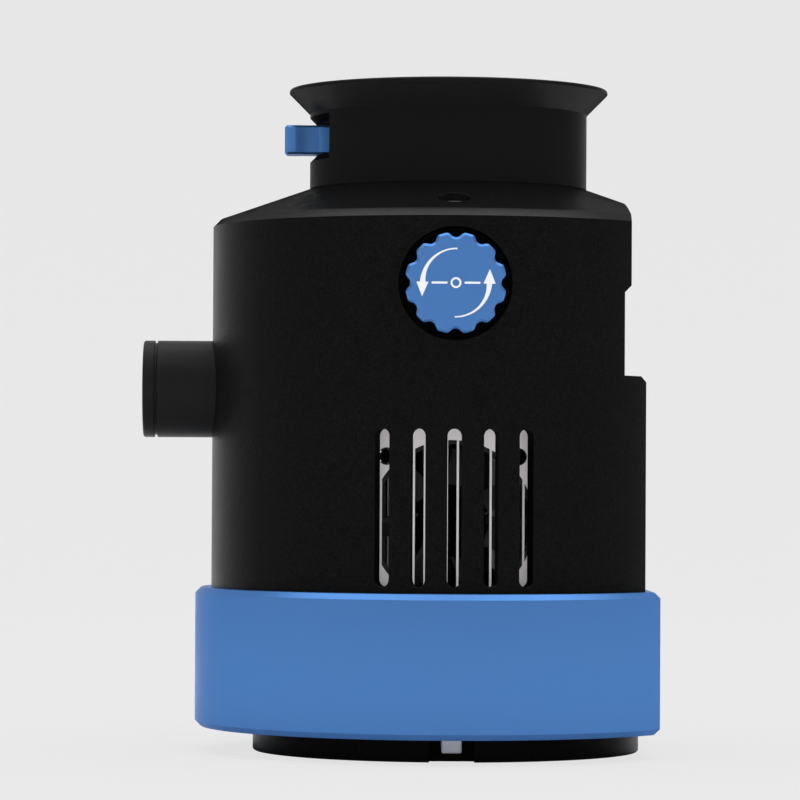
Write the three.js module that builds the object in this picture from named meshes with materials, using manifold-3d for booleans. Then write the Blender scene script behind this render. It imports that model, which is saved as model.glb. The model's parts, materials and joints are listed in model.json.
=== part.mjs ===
// Cooled guide camera: a round black housing on a blue base ring, with a dovetail nose, a filter drawer,
// a push-and-turn lock knob, a capped side port and a fan that draws air in through the front vents.
// Millimetres. +Z runs up the optical axis, the vents and the knob face -Y, the sockets face +X.
import * as THREE from 'three';
import { mergeVertices } from 'three/addons/utils/BufferGeometryUtils.js';
import Module from 'manifold-3d';

const wasm = await Module();
wasm.setup();

// ---- driving dimensions ----
const FINE = 48; // sides of a large round part
const MEDIUM = 24; // sides of a middle-sized round part
const SMALL = 10; // sides of a screw or a pin
const GAP = 0.3; // clearance between separate pieces

const FLANGE = { radius: 36.5, top: 4.6, screwCircle: 31.5 };
const KEY = { pocketWidth: 8.25, pocketDepth: 4, width: 3.7, bottom: 1.6 };
const RING = { radius: 47.5, top: 30.75, flat: 38.4, floor: 10, bore: 28, cavity: 41.3, cavityFlat: 35.05 };
const RING_CHAMFER = 1.1;

const HOUSING = { radius: 44.5, inner: 41.25, bottom: 31.1 };
const SHOULDER = { wallTop: 98.7, edgeRadius: 43.2, edgeTop: 100.05 };
const CEILING = 93.3;
const CEILING_POCKET = { radius: 29.3, top: 97 };
const LOWER_FLAT = { x: 35.75, top: 69.3, inner: 32.6 };
const RECESS = { x: 31.4, bottom: 70.4, top: 85.6, inner: 28.4, step: 66 };
const UPPER_FLAT = { x: 32.7, bottom: 86.9 };
const SPIGOT = { radius: 41, flat: 34.75, inner: 39, innerFlat: 32.6, bottom: 25 };
const SEAL = { outer: 41.15, inner: 40.1, flat: 34.85, innerFlat: 33.85, bottom: 27.1, top: 28.5 };
const PILLAR = { radius: 3.2, circle: 38.8, screwCircle: 39.8, bottom: 12, top: 50 };
const CORNER_ANGLES = [45, 135, 225, 315];
const BOARD_POST = { radius: 2.4, circle: 30.5, top: 14, angles: [0, 90, 180, 270] };

const VENT = { width: 2.64, bottom: 31.9, top: 60.4, pitch: 8.5, count: 5 };

const NOSE = { radius: 26.25, seat: 106.05, bore: 22.6, spigot: 24, spigotBottom: 93.5, top: 125 };
const FLARE = { bottom: 120.3, radius: 30.2, lip: 124.3 };
const WEB = { bottom: 107, top: 120.3, aperture: 9.8 };
const LOCK_RING = { inner: 24.2, outer: 28.9, bottom: 93.6 };
const SLOT = { halfWidth: 13.2, bottom: 112.4, top: 118.4, end: 14.2, mouth: 1.25 };
const TRAY = { front: -19.6, end: 13.6, clearance: 0.25, aperture: 8, seat: 9.7, seatZ: 114.2, corner: 3 };
const TAB = { front: -31.05, halfWidth: 3, corner: 1.2 };
const DETENT = { x: -17, hole: 1.6, ball: 1.1, bottom: 108.2 };

const KNOB = { z: 86.5, face: 45.9, back: 41.2, recess: 10.25, recessFloor: 38.9, radius: 9.15, valley: 8.2 };
const KNOB_BOSS = { radius: 12, inner: 37.4 };
const KNOB_LOBES = 12;
const STEM = { radius: 2.4, inner: 25.5 };
const SHOULDER_SCREW = { circle: 36.3, floor: 99, headRadius: 2.6, headHeight: 2.6, tip: 90 };

const PORT = { z: 68.1, radius: 9.15, end: 57.5, capBack: 55.35, tubeEnd: 54.85, bore: 7.3, wallHole: 8.3 };
const PORT_NECK = 0.6;

const CHAMBER = { radius: 22, inner: 19.5, bottom: 70.8, floor: 73, flange: 89, flangeRadius: 40.6 };
const CHAMBER_LIMIT = 28; // where the chamber is cut flat to clear the sockets
const CHAMBER_SCREW = { angles: [45, 180, 315], circle: 34.5, top: 99 };
const WINDOW = { bore: 16, seat: 18.4, seatZ: 90.4 };

const FAN = { z: 43.45, front: 32, plate: 1.5, opening: 15, hole: 12, size: 30, depth: 8 };
const GUARD = { halfWidth: 19, bottom: 31.15, top: 66.45, barPitch: 2, bar: 0.5, rail: 0.45 };
const SINK = { halfWidth: 18, front: -30.2, back: 24, bottom: 34, plateBottom: 62.5, plateTop: 66.5 };
const COOLER_SCREW = 15; // distance of each cooler screw from the axis
const FINS = { count: 11, pitch: 3.4, thickness: 1.2 };

const PANEL = { y: 15.5, bottom: 72, top: 84.4, thickness: 1.6 };
const SOCKET_BOARD = [23, 24.3];
const POWER_Y = -9.8;
const USB_Y = -0.5;
const GUIDE_Y = 9.2;

const COLOURS = {
  blue: { color: 0x4b79b5, roughness: 0.38, metalness: 0.35 },
  black: { color: 0x141415, roughness: 0.62, metalness: 0.15 },
  satin: { color: 0x121213, roughness: 0.42, metalness: 0.2 },
  steel: { color: 0x9a9aa0, roughness: 0.35, metalness: 0.9 },
  darkSteel: { color: 0x2a2a2d, roughness: 0.45, metalness: 0.7 },
  aluminium: { color: 0xc6c3c5, roughness: 0.45, metalness: 0.8 },
  plastic: { color: 0x1a1a1c, roughness: 0.6, metalness: 0 },
  rubber: { color: 0x161616, roughness: 0.9, metalness: 0 },
  board: { color: 0x1d4a2c, roughness: 0.55, metalness: 0 },
  copper: { color: 0xb87345, roughness: 0.35, metalness: 0.9 },
  ceramic: { color: 0xe9e7e0, roughness: 0.7, metalness: 0 },
  glass: { color: 0xbfd6dc, roughness: 0.05, metalness: 0 },
  silica: { color: 0xd9cfae, roughness: 0.85, metalness: 0 },
};

// ---- shape helpers: each returns a manifold solid ----
const NONE = new THREE.Matrix4();
// Local +Z points out of the front of the camera (-Y) or out of its side port (-X).
const TO_FRONT = new THREE.Matrix4().makeRotationX(Math.PI / 2);
const TO_SIDE = new THREE.Matrix4().makeRotationY(-Math.PI / 2);

function solidOf(geometry, place = NONE) {
  const bare = geometry.clone().applyMatrix4(place);
  bare.deleteAttribute('normal');
  bare.deleteAttribute('uv');
  const merged = mergeVertices(bare, 1e-4);
  const corners = merged.index.array;
  const kept = [];
  for (let i = 0; i < corners.length; i += 3) {
    const [a, b, c] = [corners[i], corners[i + 1], corners[i + 2]];
    if (a !== b && b !== c && c !== a) kept.push(a, b, c);
  }
  const vertProperties = Float32Array.from(merged.attributes.position.array);
  const triVerts = Uint32Array.from(kept);
  return new wasm.Manifold(new wasm.Mesh({ numProp: 3, vertProperties, triVerts }));
}

// A profile of [radius, height] pairs turned about the local Z axis.
function turned(profile, sides = MEDIUM, place = NONE) {
  const points = profile.map(([radius, height]) => new THREE.Vector2(radius, height));
  const geometry = new THREE.LatheGeometry(points, sides);
  geometry.rotateX(Math.PI / 2);
  return solidOf(geometry, place);
}

// A plain round bar, and a ring with a square section.
function rod(radius, low, high, sides = MEDIUM, place = NONE) {
  return turned([[0, low], [radius, low], [radius, high], [0, high]], sides, place);
}

function ring(inner, outer, low, high, sides = MEDIUM, place = NONE) {
  const profile = [[inner, low], [outer, low], [outer, high], [inner, high], [inner, low]];
  return turned(profile, sides, place);
}

function block(x, y, z, place = NONE) {
  const geometry = new THREE.BoxGeometry(x[1] - x[0], y[1] - y[0], z[1] - z[0]);
  geometry.translate((x[0] + x[1]) / 2, (y[0] + y[1]) / 2, (z[0] + z[1]) / 2);
  return solidOf(geometry, place);
}

function extruded(shape, low, high, place = NONE, curveSegments = 12) {
  const options = { depth: high - low, bevelEnabled: false, curveSegments };
  const geometry = new THREE.ExtrudeGeometry(shape, options);
  geometry.translate(0, 0, low);
  return solidOf(geometry, place);
}

// A disc with a flat on its +X side.
function dDisc(radius, flat, low, high) {
  const farSide = block([flat, radius + 5], [-60, 60], [low - 1, high + 1]);
  return rod(radius, low, high, FINE).subtract(farSide);
}

function onCircle(radius, degrees) {
  const angle = THREE.MathUtils.degToRad(degrees);
  return [radius * Math.cos(angle), radius * Math.sin(angle)];
}

function shifted(dx, dy, dz = 0, place = NONE) {
  return new THREE.Matrix4().makeTranslation(dx, dy, dz).multiply(place);
}

function joined(solids) {
  return solids.reduce((sum, next) => sum.add(next));
}

// A wire bent into a helix about the local Z axis.
function coil(radius, wire, low, high, turns, steps, sides) {
  const points = [];
  for (let i = 0; i <= turns * steps; i += 1) {
    const part = i / (turns * steps);
    const angle = part * turns * 2 * Math.PI;
    const height = low + wire + (high - low - 2 * wire) * part;
    points.push(new THREE.Vector3(radius * Math.cos(angle), radius * Math.sin(angle), height));
  }
  const path = new THREE.CatmullRomCurve3(points);
  const section = new THREE.Shape();
  for (let i = 0; i < sides; i += 1) {
    const [x, y] = onCircle(wire, (360 * i) / sides);
    if (i === 0) section.moveTo(x, y);
    else section.lineTo(x, y);
  }
  return new THREE.ExtrudeGeometry(section, { steps: turns * steps, extrudePath: path, bevelEnabled: false });
}

// ---- from solids to the named meshes of the scene ----
const camera = new THREE.Group();

function meshOf(name, solid, look, parent = camera) {
  const { vertProperties, triVerts } = solid.getMesh();
  const geometry = new THREE.BufferGeometry();
  geometry.setAttribute('position', new THREE.BufferAttribute(vertProperties, 3));
  geometry.setIndex(new THREE.BufferAttribute(triVerts, 1));
  geometry.computeVertexNormals();
  const mesh = new THREE.Mesh(geometry, new THREE.MeshStandardMaterial(COLOURS[look]));
  mesh.name = name;
  parent.add(mesh);
  return mesh;
}

function groupAt(x, y, z, turnX = 0, turnY = 0) {
  const group = new THREE.Group();
  group.position.set(x, y, z);
  group.rotation.set(turnX, turnY, 0);
  camera.add(group);
  return group;
}

const knobGroup = groupAt(0, 0, KNOB.z, Math.PI / 2);
const portGroup = groupAt(0, 0, PORT.z, 0, -Math.PI / 2);
const fanGroup = groupAt(0, 0, FAN.z, Math.PI / 2);

// A cap screw standing on its head: head from 0 down, shank from 0 up, hexagon socket in the head.
function capScrew(headRadius, headHeight, shankRadius, length) {
  const head = rod(headRadius, -headHeight, 0, SMALL);
  const shank = rod(shankRadius, -0.2, length, SMALL);
  const socket = rod(headRadius * 0.5, -headHeight - 1, -headHeight * 0.4, 6);
  return head.add(shank).subtract(socket);
}

function addScrews(name, places, solid, look, turnOver = false, parent = camera) {
  places.forEach(([x, y, z], index) => {
    const screw = meshOf(`${name}_${index + 1}`, solid, look, parent);
    screw.position.set(x, y, z);
    if (turnOver) screw.rotation.x = Math.PI;
  });
}

// ---- base ----
function addBaseFlange() {
  const edge = 0.5;
  let flange = turned([
    [0, 0], [FLANGE.radius - edge, 0], [FLANGE.radius, edge], [FLANGE.radius, FLANGE.top], [0, FLANGE.top],
  ], FINE);
  const back = -FLANGE.radius + KEY.pocketDepth;
  const half = KEY.pocketWidth / 2;
  flange = flange.subtract(block([-half, half], [-FLANGE.radius - 1, back], [-1, FLANGE.top + 1]));
  for (const angle of CORNER_ANGLES) {
    const [x, y] = onCircle(FLANGE.screwCircle, angle);
    flange = flange.subtract(rod(3, -1, 3.1, SMALL, shifted(x, y)));
    flange = flange.subtract(rod(1.8, 2, FLANGE.top + 1, SMALL, shifted(x, y)));
  }
  meshOf('base_flange', flange, 'black');

  const halfKey = KEY.width / 2;
  const key = block([-halfKey, halfKey], [back - 2.6, back - 0.02], [KEY.bottom, FLANGE.top - 0.02]);
  meshOf('alignment_key', key, 'aluminium');

  const places = CORNER_ANGLES.map((angle) => [...onCircle(FLANGE.screwCircle, angle), 3.1]);
  addScrews('flange_screw', places, capScrew(2.6, 2.4, 1.4, 5.4), 'darkSteel');
}

function addBaseRing() {
  const { radius, top } = RING;
  const low = FLANGE.top;
  const c = RING_CHAMFER;
  let body = turned([
    [0, low], [radius - c, low], [radius, low + c], [radius, top - c], [radius - c, top], [0, top],
  ], FINE);
  body = body.subtract(block([RING.flat, 60], [-60, 60], [0, 60]));
  body = body.subtract(dDisc(RING.cavity, RING.cavityFlat, RING.floor, top + 1));
  body = body.subtract(rod(RING.bore, low - 1, RING.floor + 1, MEDIUM));
  for (const angle of CORNER_ANGLES) {
    const [x, y] = onCircle(PILLAR.screwCircle, angle);
    body = body.subtract(rod(2.7, low - 1, 7.8, SMALL, shifted(x, y)));
    body = body.subtract(rod(1.6, 7, RING.floor + 1, SMALL, shifted(x, y)));
    const [u, v] = onCircle(FLANGE.screwCircle, angle);
    body = body.subtract(rod(1.7, low - 1, 9, SMALL, shifted(u, v)));
  }
  for (const angle of BOARD_POST.angles) {
    const [x, y] = onCircle(BOARD_POST.circle, angle);
    body = body.add(rod(BOARD_POST.radius, RING.floor - 0.5, BOARD_POST.top, SMALL, shifted(x, y)));
  }
  meshOf('base_ring', body, 'blue');

  const places = CORNER_ANGLES.map((angle) => [...onCircle(PILLAR.screwCircle, angle), 7.8]);
  addScrews('body_screw', places, capScrew(2.35, 2.5, 1.25, 14), 'darkSteel');
}

function addBaseSeal() {
  const outer = dDisc(SEAL.outer, SEAL.flat, SEAL.bottom, SEAL.top);
  const inner = dDisc(SEAL.inner, SEAL.innerFlat, SEAL.bottom - 1, SEAL.top + 1);
  meshOf('base_seal', outer.subtract(inner), 'rubber');
}

// ---- housing ----
function housingOutside() {
  const low = RING.top;
  let body = turned([
    [0, low], [HOUSING.radius, low], [HOUSING.radius, SHOULDER.wallTop],
    [SHOULDER.edgeRadius, SHOULDER.edgeTop], [NOSE.radius, NOSE.seat], [0, NOSE.seat],
  ], FINE);
  body = body.subtract(block([LOWER_FLAT.x, 60], [-60, 60], [0, 120]));
  body = body.subtract(block([UPPER_FLAT.x, 60], [-60, 60], [RECESS.bottom, 120]));
  body = body.subtract(block([RECESS.x, 60], [-60, 60], [RECESS.bottom, RECESS.top]));
  body = body.subtract(slopedCut(RECESS.x, RECESS.top, UPPER_FLAT.x, UPPER_FLAT.bottom));
  body = body.subtract(slopedCut(LOWER_FLAT.x, LOWER_FLAT.top, LOWER_FLAT.x - 1.1, RECESS.bottom));
  return body.add(dDisc(SPIGOT.radius, SPIGOT.flat, SPIGOT.bottom, low + 0.2));
}

// A chamfer on the flat side: everything outside the line from (x0, z0) to (x1, z1).
function slopedCut(x0, z0, x1, z1) {
  const outline = new THREE.Shape();
  outline.moveTo(x0, z0);
  outline.lineTo(60, z0);
  outline.lineTo(60, z1);
  outline.lineTo(x1, z1);
  outline.closePath();
  return extruded(outline, -60, 60, TO_FRONT);
}

function housingCavity() {
  const lower = dDisc(HOUSING.inner, LOWER_FLAT.inner, HOUSING.bottom, RECESS.step);
  const upper = dDisc(HOUSING.inner, RECESS.inner, RECESS.step - 1, CEILING);
  const spigot = dDisc(SPIGOT.inner, SPIGOT.innerFlat, SPIGOT.bottom - 1, HOUSING.bottom + 1);
  const pocket = rod(CEILING_POCKET.radius, CEILING - 1, CEILING_POCKET.top, FINE);
  const bore = rod(NOSE.spigot + GAP, CEILING, NOSE.seat + 1, FINE);
  return joined([lower, upper, spigot, pocket, bore]);
}

function pillars() {
  const limit = dDisc(SPIGOT.radius, SPIGOT.flat, PILLAR.bottom, RING.top + 0.3);
  const parts = CORNER_ANGLES.map((angle) => {
    const [x, y] = onCircle(PILLAR.circle, angle);
    const low = rod(PILLAR.radius, PILLAR.bottom, RING.top + 0.3, SMALL, shifted(x, y)).intersect(limit);
    return low.add(rod(PILLAR.radius, RING.top + 0.1, PILLAR.top, SMALL, shifted(x, y)));
  });
  return joined(parts);
}

function ventSlot(angle) {
  const radius = VENT.width / 2;
  const slot = new THREE.Shape();
  slot.absarc(0, VENT.top - radius, radius, 0, Math.PI, false);
  slot.absarc(0, VENT.bottom + radius, radius, Math.PI, 2 * Math.PI, false);
  const turn = new THREE.Matrix4().makeRotationZ(THREE.MathUtils.degToRad(angle));
  return extruded(slot, HOUSING.inner - 6, HOUSING.radius + 2, turn.multiply(TO_FRONT), 5);
}

function ventCuts() {
  const cuts = [];
  for (const side of [0, 180]) {
    for (let i = 0; i < VENT.count; i += 1) {
      cuts.push(ventSlot(side + (i - (VENT.count - 1) / 2) * VENT.pitch));
    }
  }
  return joined(cuts);
}

function knobCuts() {
  const place = shifted(0, 0, KNOB.z, TO_FRONT);
  const recess = rod(KNOB.recess, KNOB.recessFloor, HOUSING.radius + 2, MEDIUM, place);
  const stemHole = rod(STEM.radius + GAP, KNOB_BOSS.inner - 1, HOUSING.radius, MEDIUM, place);
  return recess.add(stemHole);
}

function latchScrewCuts() {
  const place = shifted(0, -SHOULDER_SCREW.circle);
  const head = rod(SHOULDER_SCREW.headRadius + GAP, SHOULDER_SCREW.floor, NOSE.seat, MEDIUM, place);
  const shank = rod(1.7, SHOULDER_SCREW.tip - 0.5, SHOULDER_SCREW.floor + 1, SMALL, place);
  return head.add(shank);
}

function chamberScrewCuts() {
  const holes = CHAMBER_SCREW.angles.map((angle) => {
    const [x, y] = onCircle(CHAMBER_SCREW.circle, angle);
    return rod(1.7, CEILING - 1, CHAMBER_SCREW.top + 0.5, SMALL, shifted(x, y));
  });
  return joined(holes);
}

function addHousing() {
  let body = housingOutside().subtract(housingCavity());
  const knobPlace = shifted(0, 0, KNOB.z, TO_FRONT);
  const boss = rod(KNOB_BOSS.radius, KNOB_BOSS.inner, HOUSING.inner + 1, MEDIUM, knobPlace);
  body = body.add(pillars()).add(boss);
  for (const angle of CORNER_ANGLES) {
    const [x, y] = onCircle(PILLAR.screwCircle, angle);
    body = body.subtract(rod(1.7, PILLAR.bottom - 1, 23, SMALL, shifted(x, y)));
  }
  const groove = dDisc(60, 59, SEAL.bottom - GAP, SEAL.top + GAP);
  const grooveCore = dDisc(SEAL.inner - GAP, SEAL.innerFlat - GAP, SEAL.bottom - 1, SEAL.top + 1);
  body = body.subtract(groove.subtract(grooveCore));
  const portHole = rod(PORT.wallHole, 30, 50, MEDIUM, shifted(0, 0, PORT.z, TO_SIDE));
  const panelHole = block([20, 40], [-PANEL.y, PANEL.y], [PANEL.bottom, PANEL.top]);
  const cuts = [ventCuts(), knobCuts(), latchScrewCuts(), chamberScrewCuts(), portHole, panelHole];
  meshOf('main_housing', body.subtract(joined(cuts)), 'black');
}

// ---- nose ----
function addNose() {
  const wall = 1.3;
  const { radius, top } = NOSE;
  let barrel = turned([
    [NOSE.bore, NOSE.spigotBottom], [NOSE.spigot, NOSE.spigotBottom], [NOSE.spigot, NOSE.seat],
    [radius, NOSE.seat], [radius, FLARE.bottom], [FLARE.radius, FLARE.lip], [FLARE.radius, top - 0.15],
    [FLARE.radius - 0.25, top], [FLARE.radius - wall, top], [FLARE.radius - wall - 0.2, FLARE.lip],
    [radius - wall - 0.6, FLARE.bottom], [radius - wall - 0.6, WEB.top], [WEB.aperture, WEB.top],
    [WEB.aperture, WEB.bottom], [NOSE.bore, WEB.bottom], [NOSE.bore, NOSE.spigotBottom],
  ], FINE);
  const slotWidth = [-SLOT.halfWidth, SLOT.halfWidth];
  barrel = barrel.subtract(block([-40, SLOT.end], slotWidth, [SLOT.bottom, SLOT.top]));
  barrel = barrel.subtract(slotMouth());
  const ballPlace = shifted(DETENT.x, 0);
  barrel = barrel.subtract(rod(DETENT.hole, DETENT.bottom, SLOT.bottom + 1, SMALL, ballPlace));
  meshOf('nose_barrel', barrel, 'satin');

  const lock = ring(LOCK_RING.inner, LOCK_RING.outer, LOCK_RING.bottom, CEILING_POCKET.top, FINE);
  const notch = block([-2, 2], [-40, 40], [LOCK_RING.bottom - 1, LOCK_RING.bottom + 1.2]);
  meshOf('nose_lock_ring', lock.subtract(notch), 'satin');
}

// The chamfered mouth of the drawer slot, sloping at 45 degrees to the outside of the barrel.
function slotMouth() {
  const { bottom, top, mouth, halfWidth } = SLOT;
  const inner = NOSE.radius - mouth;
  const outer = NOSE.radius + 1;
  const wedge = turned([[0, bottom], [inner, bottom], [outer, bottom - mouth - 1],
    [outer, top + mouth + 1], [inner, top], [0, top]], FINE);
  return wedge.intersect(block([-40, -15], [-halfWidth, halfWidth], [bottom - 5, top + 5]));
}

function roundedBar(x, y, corner, low, high) {
  const [x0, x1] = x;
  const bar = new THREE.Shape();
  bar.moveTo(x1, -y);
  bar.lineTo(x1, y);
  bar.lineTo(x0 + corner, y);
  bar.absarc(x0 + corner, y - corner, corner, Math.PI / 2, Math.PI, false);
  bar.absarc(x0 + corner, -y + corner, corner, Math.PI, 1.5 * Math.PI, false);
  bar.closePath();
  return extruded(bar, low, high, NONE, 5);
}

function addFilterDrawer() {
  const low = SLOT.bottom + TRAY.clearance;
  const high = SLOT.top - TRAY.clearance;
  const half = SLOT.halfWidth - TRAY.clearance;
  let tray = roundedBar([TRAY.front, TRAY.end], half, TRAY.corner, low, high);
  tray = tray.add(roundedBar([TAB.front, TRAY.front + 1], TAB.halfWidth, TAB.corner, low, high));
  tray = tray.subtract(rod(TRAY.aperture, low - 1, high + 1));
  tray = tray.subtract(rod(TRAY.seat, TRAY.seatZ, high + 1));
  tray = tray.subtract(rod(1.2, low - 1, low + 0.6, SMALL, shifted(DETENT.x, 0)));
  meshOf('filter_tray', tray, 'blue');
  meshOf('filter_glass', rod(TRAY.seat - 0.2, TRAY.seatZ, TRAY.seatZ + 1.6), 'glass');
  meshOf('filter_ring', ring(TRAY.aperture, TRAY.seat - 0.1, TRAY.seatZ + 1.6, TRAY.seatZ + 3.2), 'satin');

  const ballGeometry = new THREE.SphereGeometry(DETENT.ball, 12, 8);
  const ball = meshOf('detent_ball', solidOf(ballGeometry), 'steel');
  ball.position.set(DETENT.x, 0, SLOT.bottom - DETENT.ball);
  const springTop = SLOT.bottom - 2 * DETENT.ball - 0.05;
  const wire = coil(0.9, 0.16, DETENT.bottom, springTop, 3, 8, 5);
  const spring = meshOf('detent_spring', solidOf(wire), 'steel');
  spring.position.set(DETENT.x, 0, 0);
}

// ---- lock knob, built with local +Z pointing out of the front ----
function knobOutline() {
  const outline = new THREE.Shape();
  const perLobe = 6;
  const depth = KNOB.radius - KNOB.valley;
  for (let i = 0; i < KNOB_LOBES * perLobe; i += 1) {
    const angle = (i * 2 * Math.PI) / (KNOB_LOBES * perLobe);
    const notch = Math.max(0, Math.cos(KNOB_LOBES * angle));
    const radius = KNOB.radius - depth * notch;
    const [x, y] = [radius * Math.sin(angle), radius * Math.cos(angle)];
    if (i === 0) outline.moveTo(x, y);
    else outline.lineTo(x, y);
  }
  outline.closePath();
  return outline;
}

function addKnob() {
  const pocket = { radius: 5.6, depth: KNOB.face - 1.2 };
  let knob = extruded(knobOutline(), KNOB.back, KNOB.face);
  knob = knob.subtract(rod(pocket.radius, KNOB.back - 1, pocket.depth));
  knob = knob.subtract(rod(STEM.radius + 0.1, pocket.depth - 1, KNOB.face - 0.5));
  meshOf('release_knob', knob, 'blue', knobGroup);

  const pinAt = STEM.inner + 1.8;
  let stem = rod(STEM.radius, STEM.inner, KNOB.face - 0.55);
  const alongX = new THREE.Matrix4().makeRotationY(Math.PI / 2);
  stem = stem.subtract(rod(1, -5, 5, SMALL, shifted(0, 0, pinAt, alongX)));
  meshOf('knob_stem', stem, 'steel', knobGroup);
  meshOf('knob_cross_pin', rod(0.9, -5.2, 5.2, SMALL, shifted(0, 0, pinAt, alongX)), 'steel', knobGroup);

  const washer = ring(STEM.radius + 0.12, 5.2, pocket.depth - 0.6, pocket.depth - 0.1);
  meshOf('knob_washer', washer, 'steel', knobGroup);
  const springSpan = [KNOB.recessFloor + 0.1, pocket.depth - 2.9];
  const spring = solidOf(coil(4.2, 0.22, springSpan[0], springSpan[1], 2, 18, 8));
  meshOf('knob_spring', spring, 'steel', knobGroup);
}

// The block inside the housing that carries the knob's stem, held down by one screw from above.
function addLatch() {
  const back = -STEM.inner - 3.4;
  const place = shifted(0, 0, KNOB.z, TO_FRONT);
  let body = block([-9, 9], [-KNOB_BOSS.inner + 0.05, back], [KNOB.z - 8, CEILING - 0.05]);
  body = body.subtract(rod(STEM.radius + 0.1, 20, 50, MEDIUM, place));
  const { headRadius, headHeight, floor, circle, tip } = SHOULDER_SCREW;
  body = body.subtract(rod(1.7, tip - 0.5, CEILING + 1, SMALL, shifted(0, -circle)));
  meshOf('latch_block', body, 'aluminium');

  const screw = capScrew(headRadius, headHeight, 1.4, floor - tip);
  addScrews('latch_screw', [[0, -circle, floor + 0.02]], screw, 'darkSteel', true);
}

// ---- side port, built with local +Z pointing out of the side (-X) ----
function addPort() {
  let tube = rod(PORT.radius, 42, PORT.tubeEnd).add(rod(PORT.wallHole - GAP, 36.2, 43, MEDIUM));
  const shell = rod(HOUSING.radius + GAP, PORT.z - 30, PORT.z + 30, FINE);
  const keepOut = shell.subtract(rod(PORT.wallHole - GAP, 30, 60, MEDIUM, shifted(0, 0, PORT.z, TO_SIDE)));
  const toPort = new THREE.Matrix4().makeRotationY(Math.PI / 2).multiply(shifted(0, 0, -PORT.z));
  tube = tube.subtract(moved(keepOut, toPort));
  tube = tube.subtract(rod(PORT.bore, 30, 60, MEDIUM));
  meshOf('port_tube', tube, 'satin', portGroup);
  const nut = rod(11, 36.6, 39.2, 6).subtract(rod(PORT.wallHole, 35, 41));
  meshOf('port_nut', nut, 'steel', portGroup);

  const neck = PORT.radius - PORT_NECK;
  let cap = turned([
    [0, 50.5], [PORT.bore - 0.3, 50.5], [PORT.bore - 0.3, PORT.tubeEnd + 0.05], [neck, PORT.tubeEnd + 0.05],
    [neck, PORT.capBack], [PORT.radius, PORT.capBack], [PORT.radius, PORT.end - 0.35],
    [PORT.radius - 0.35, PORT.end], [0, PORT.end],
  ]);
  cap = cap.subtract(block([-0.7, 0.7], [-5.5, 5.5], [PORT.end - 1, PORT.end + 1]));
  cap = cap.subtract(ring(6.1, 9, 53, 54.4).intersect(rod(PORT.bore, 52, 55)));
  meshOf('port_cap', cap, 'satin', portGroup);
  meshOf('port_seal', ring(6.25, PORT.bore - 0.1, 53.15, 54.25), 'rubber', portGroup);
  const cartridge = rod(6.7, 37.5, 50.1).subtract(rod(5.9, 49.3, 51));
  meshOf('desiccant_cartridge', cartridge, 'silica', portGroup);
}

// Carries a finished solid through a matrix.
function moved(solid, matrix) {
  const { vertProperties, triVerts } = solid.getMesh();
  const geometry = new THREE.BufferGeometry();
  geometry.setAttribute('position', new THREE.BufferAttribute(vertProperties, 3));
  geometry.setIndex(new THREE.BufferAttribute(triVerts, 1));
  return solidOf(geometry, matrix);
}

// ---- sensor chamber, on the optical axis ----
function addChamber() {
  const { radius, inner, bottom, floor, flange, flangeRadius } = CHAMBER;
  const top = CEILING - 0.02;
  let body = turned([
    [0, bottom], [radius, bottom], [radius, flange], [flangeRadius, flange], [flangeRadius, top], [0, top],
  ], FINE);
  body = body.subtract(rod(inner, floor, flange - 1.5)).subtract(rod(WINDOW.bore, floor, top + 1));
  body = body.subtract(rod(WINDOW.seat, WINDOW.seatZ, top + 1));
  body = body.subtract(block([CHAMBER_LIMIT, 60], [-60, 60], [80, 100]));
  body = body.subtract(block([-12.6, 12.6], [-60, -23.5], [80, 100]));
  body = body.subtract(block([-10, 10], [-10, 10], [bottom - 1, floor + 1]));
  for (const angle of CHAMBER_SCREW.angles) {
    const [x, y] = onCircle(CHAMBER_SCREW.circle, angle);
    body = body.subtract(rod(1.7, flange - 1, top + 1, SMALL, shifted(x, y)));
  }
  for (const x of [-COOLER_SCREW, COOLER_SCREW]) {
    body = body.subtract(rod(1.5, bottom - 1, bottom + 2, SMALL, shifted(x, 0)));
  }
  meshOf('chamber_body', body, 'aluminium');
  const places = CHAMBER_SCREW.angles.map((a) => [...onCircle(CHAMBER_SCREW.circle, a), flange - 0.02]);
  addScrews('chamber_screw', places, capScrew(2.6, 2.6, 1.4, CHAMBER_SCREW.top - flange), 'darkSteel');

  const seat = WINDOW.seat - 0.25;
  meshOf('window_seal', ring(WINDOW.bore + 0.2, seat, WINDOW.seatZ, WINDOW.seatZ + 0.6), 'rubber');
  meshOf('window_glass', rod(seat, WINDOW.seatZ + 0.6, WINDOW.seatZ + 1.9), 'glass');
  meshOf('window_ring', ring(WINDOW.bore, seat, WINDOW.seatZ + 1.9, WINDOW.seatZ + 2.8), 'satin');
}

function addSensorStack() {
  const boardLow = 79;
  const board = block([-13, 13], [-13, 13], [boardLow, boardLow + 1.6]);
  meshOf('sensor_board', board, 'board');
  const frame = block([-7, 7], [-5.5, 5.5], [boardLow + 1.6, boardLow + 3.6]);
  const well = block([-5.6, 5.6], [-4.2, 4.2], [boardLow + 3, boardLow + 5]);
  meshOf('image_sensor', frame.subtract(well), 'ceramic');
  meshOf('cold_finger', block([-9, 9], [-9, 9], [CHAMBER.bottom - 0.8, boardLow]), 'copper');
  meshOf('cooler_module', block([-10, 10], [-10, 10], [SINK.plateTop, CHAMBER.bottom - 0.8]), 'ceramic');
}

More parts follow.
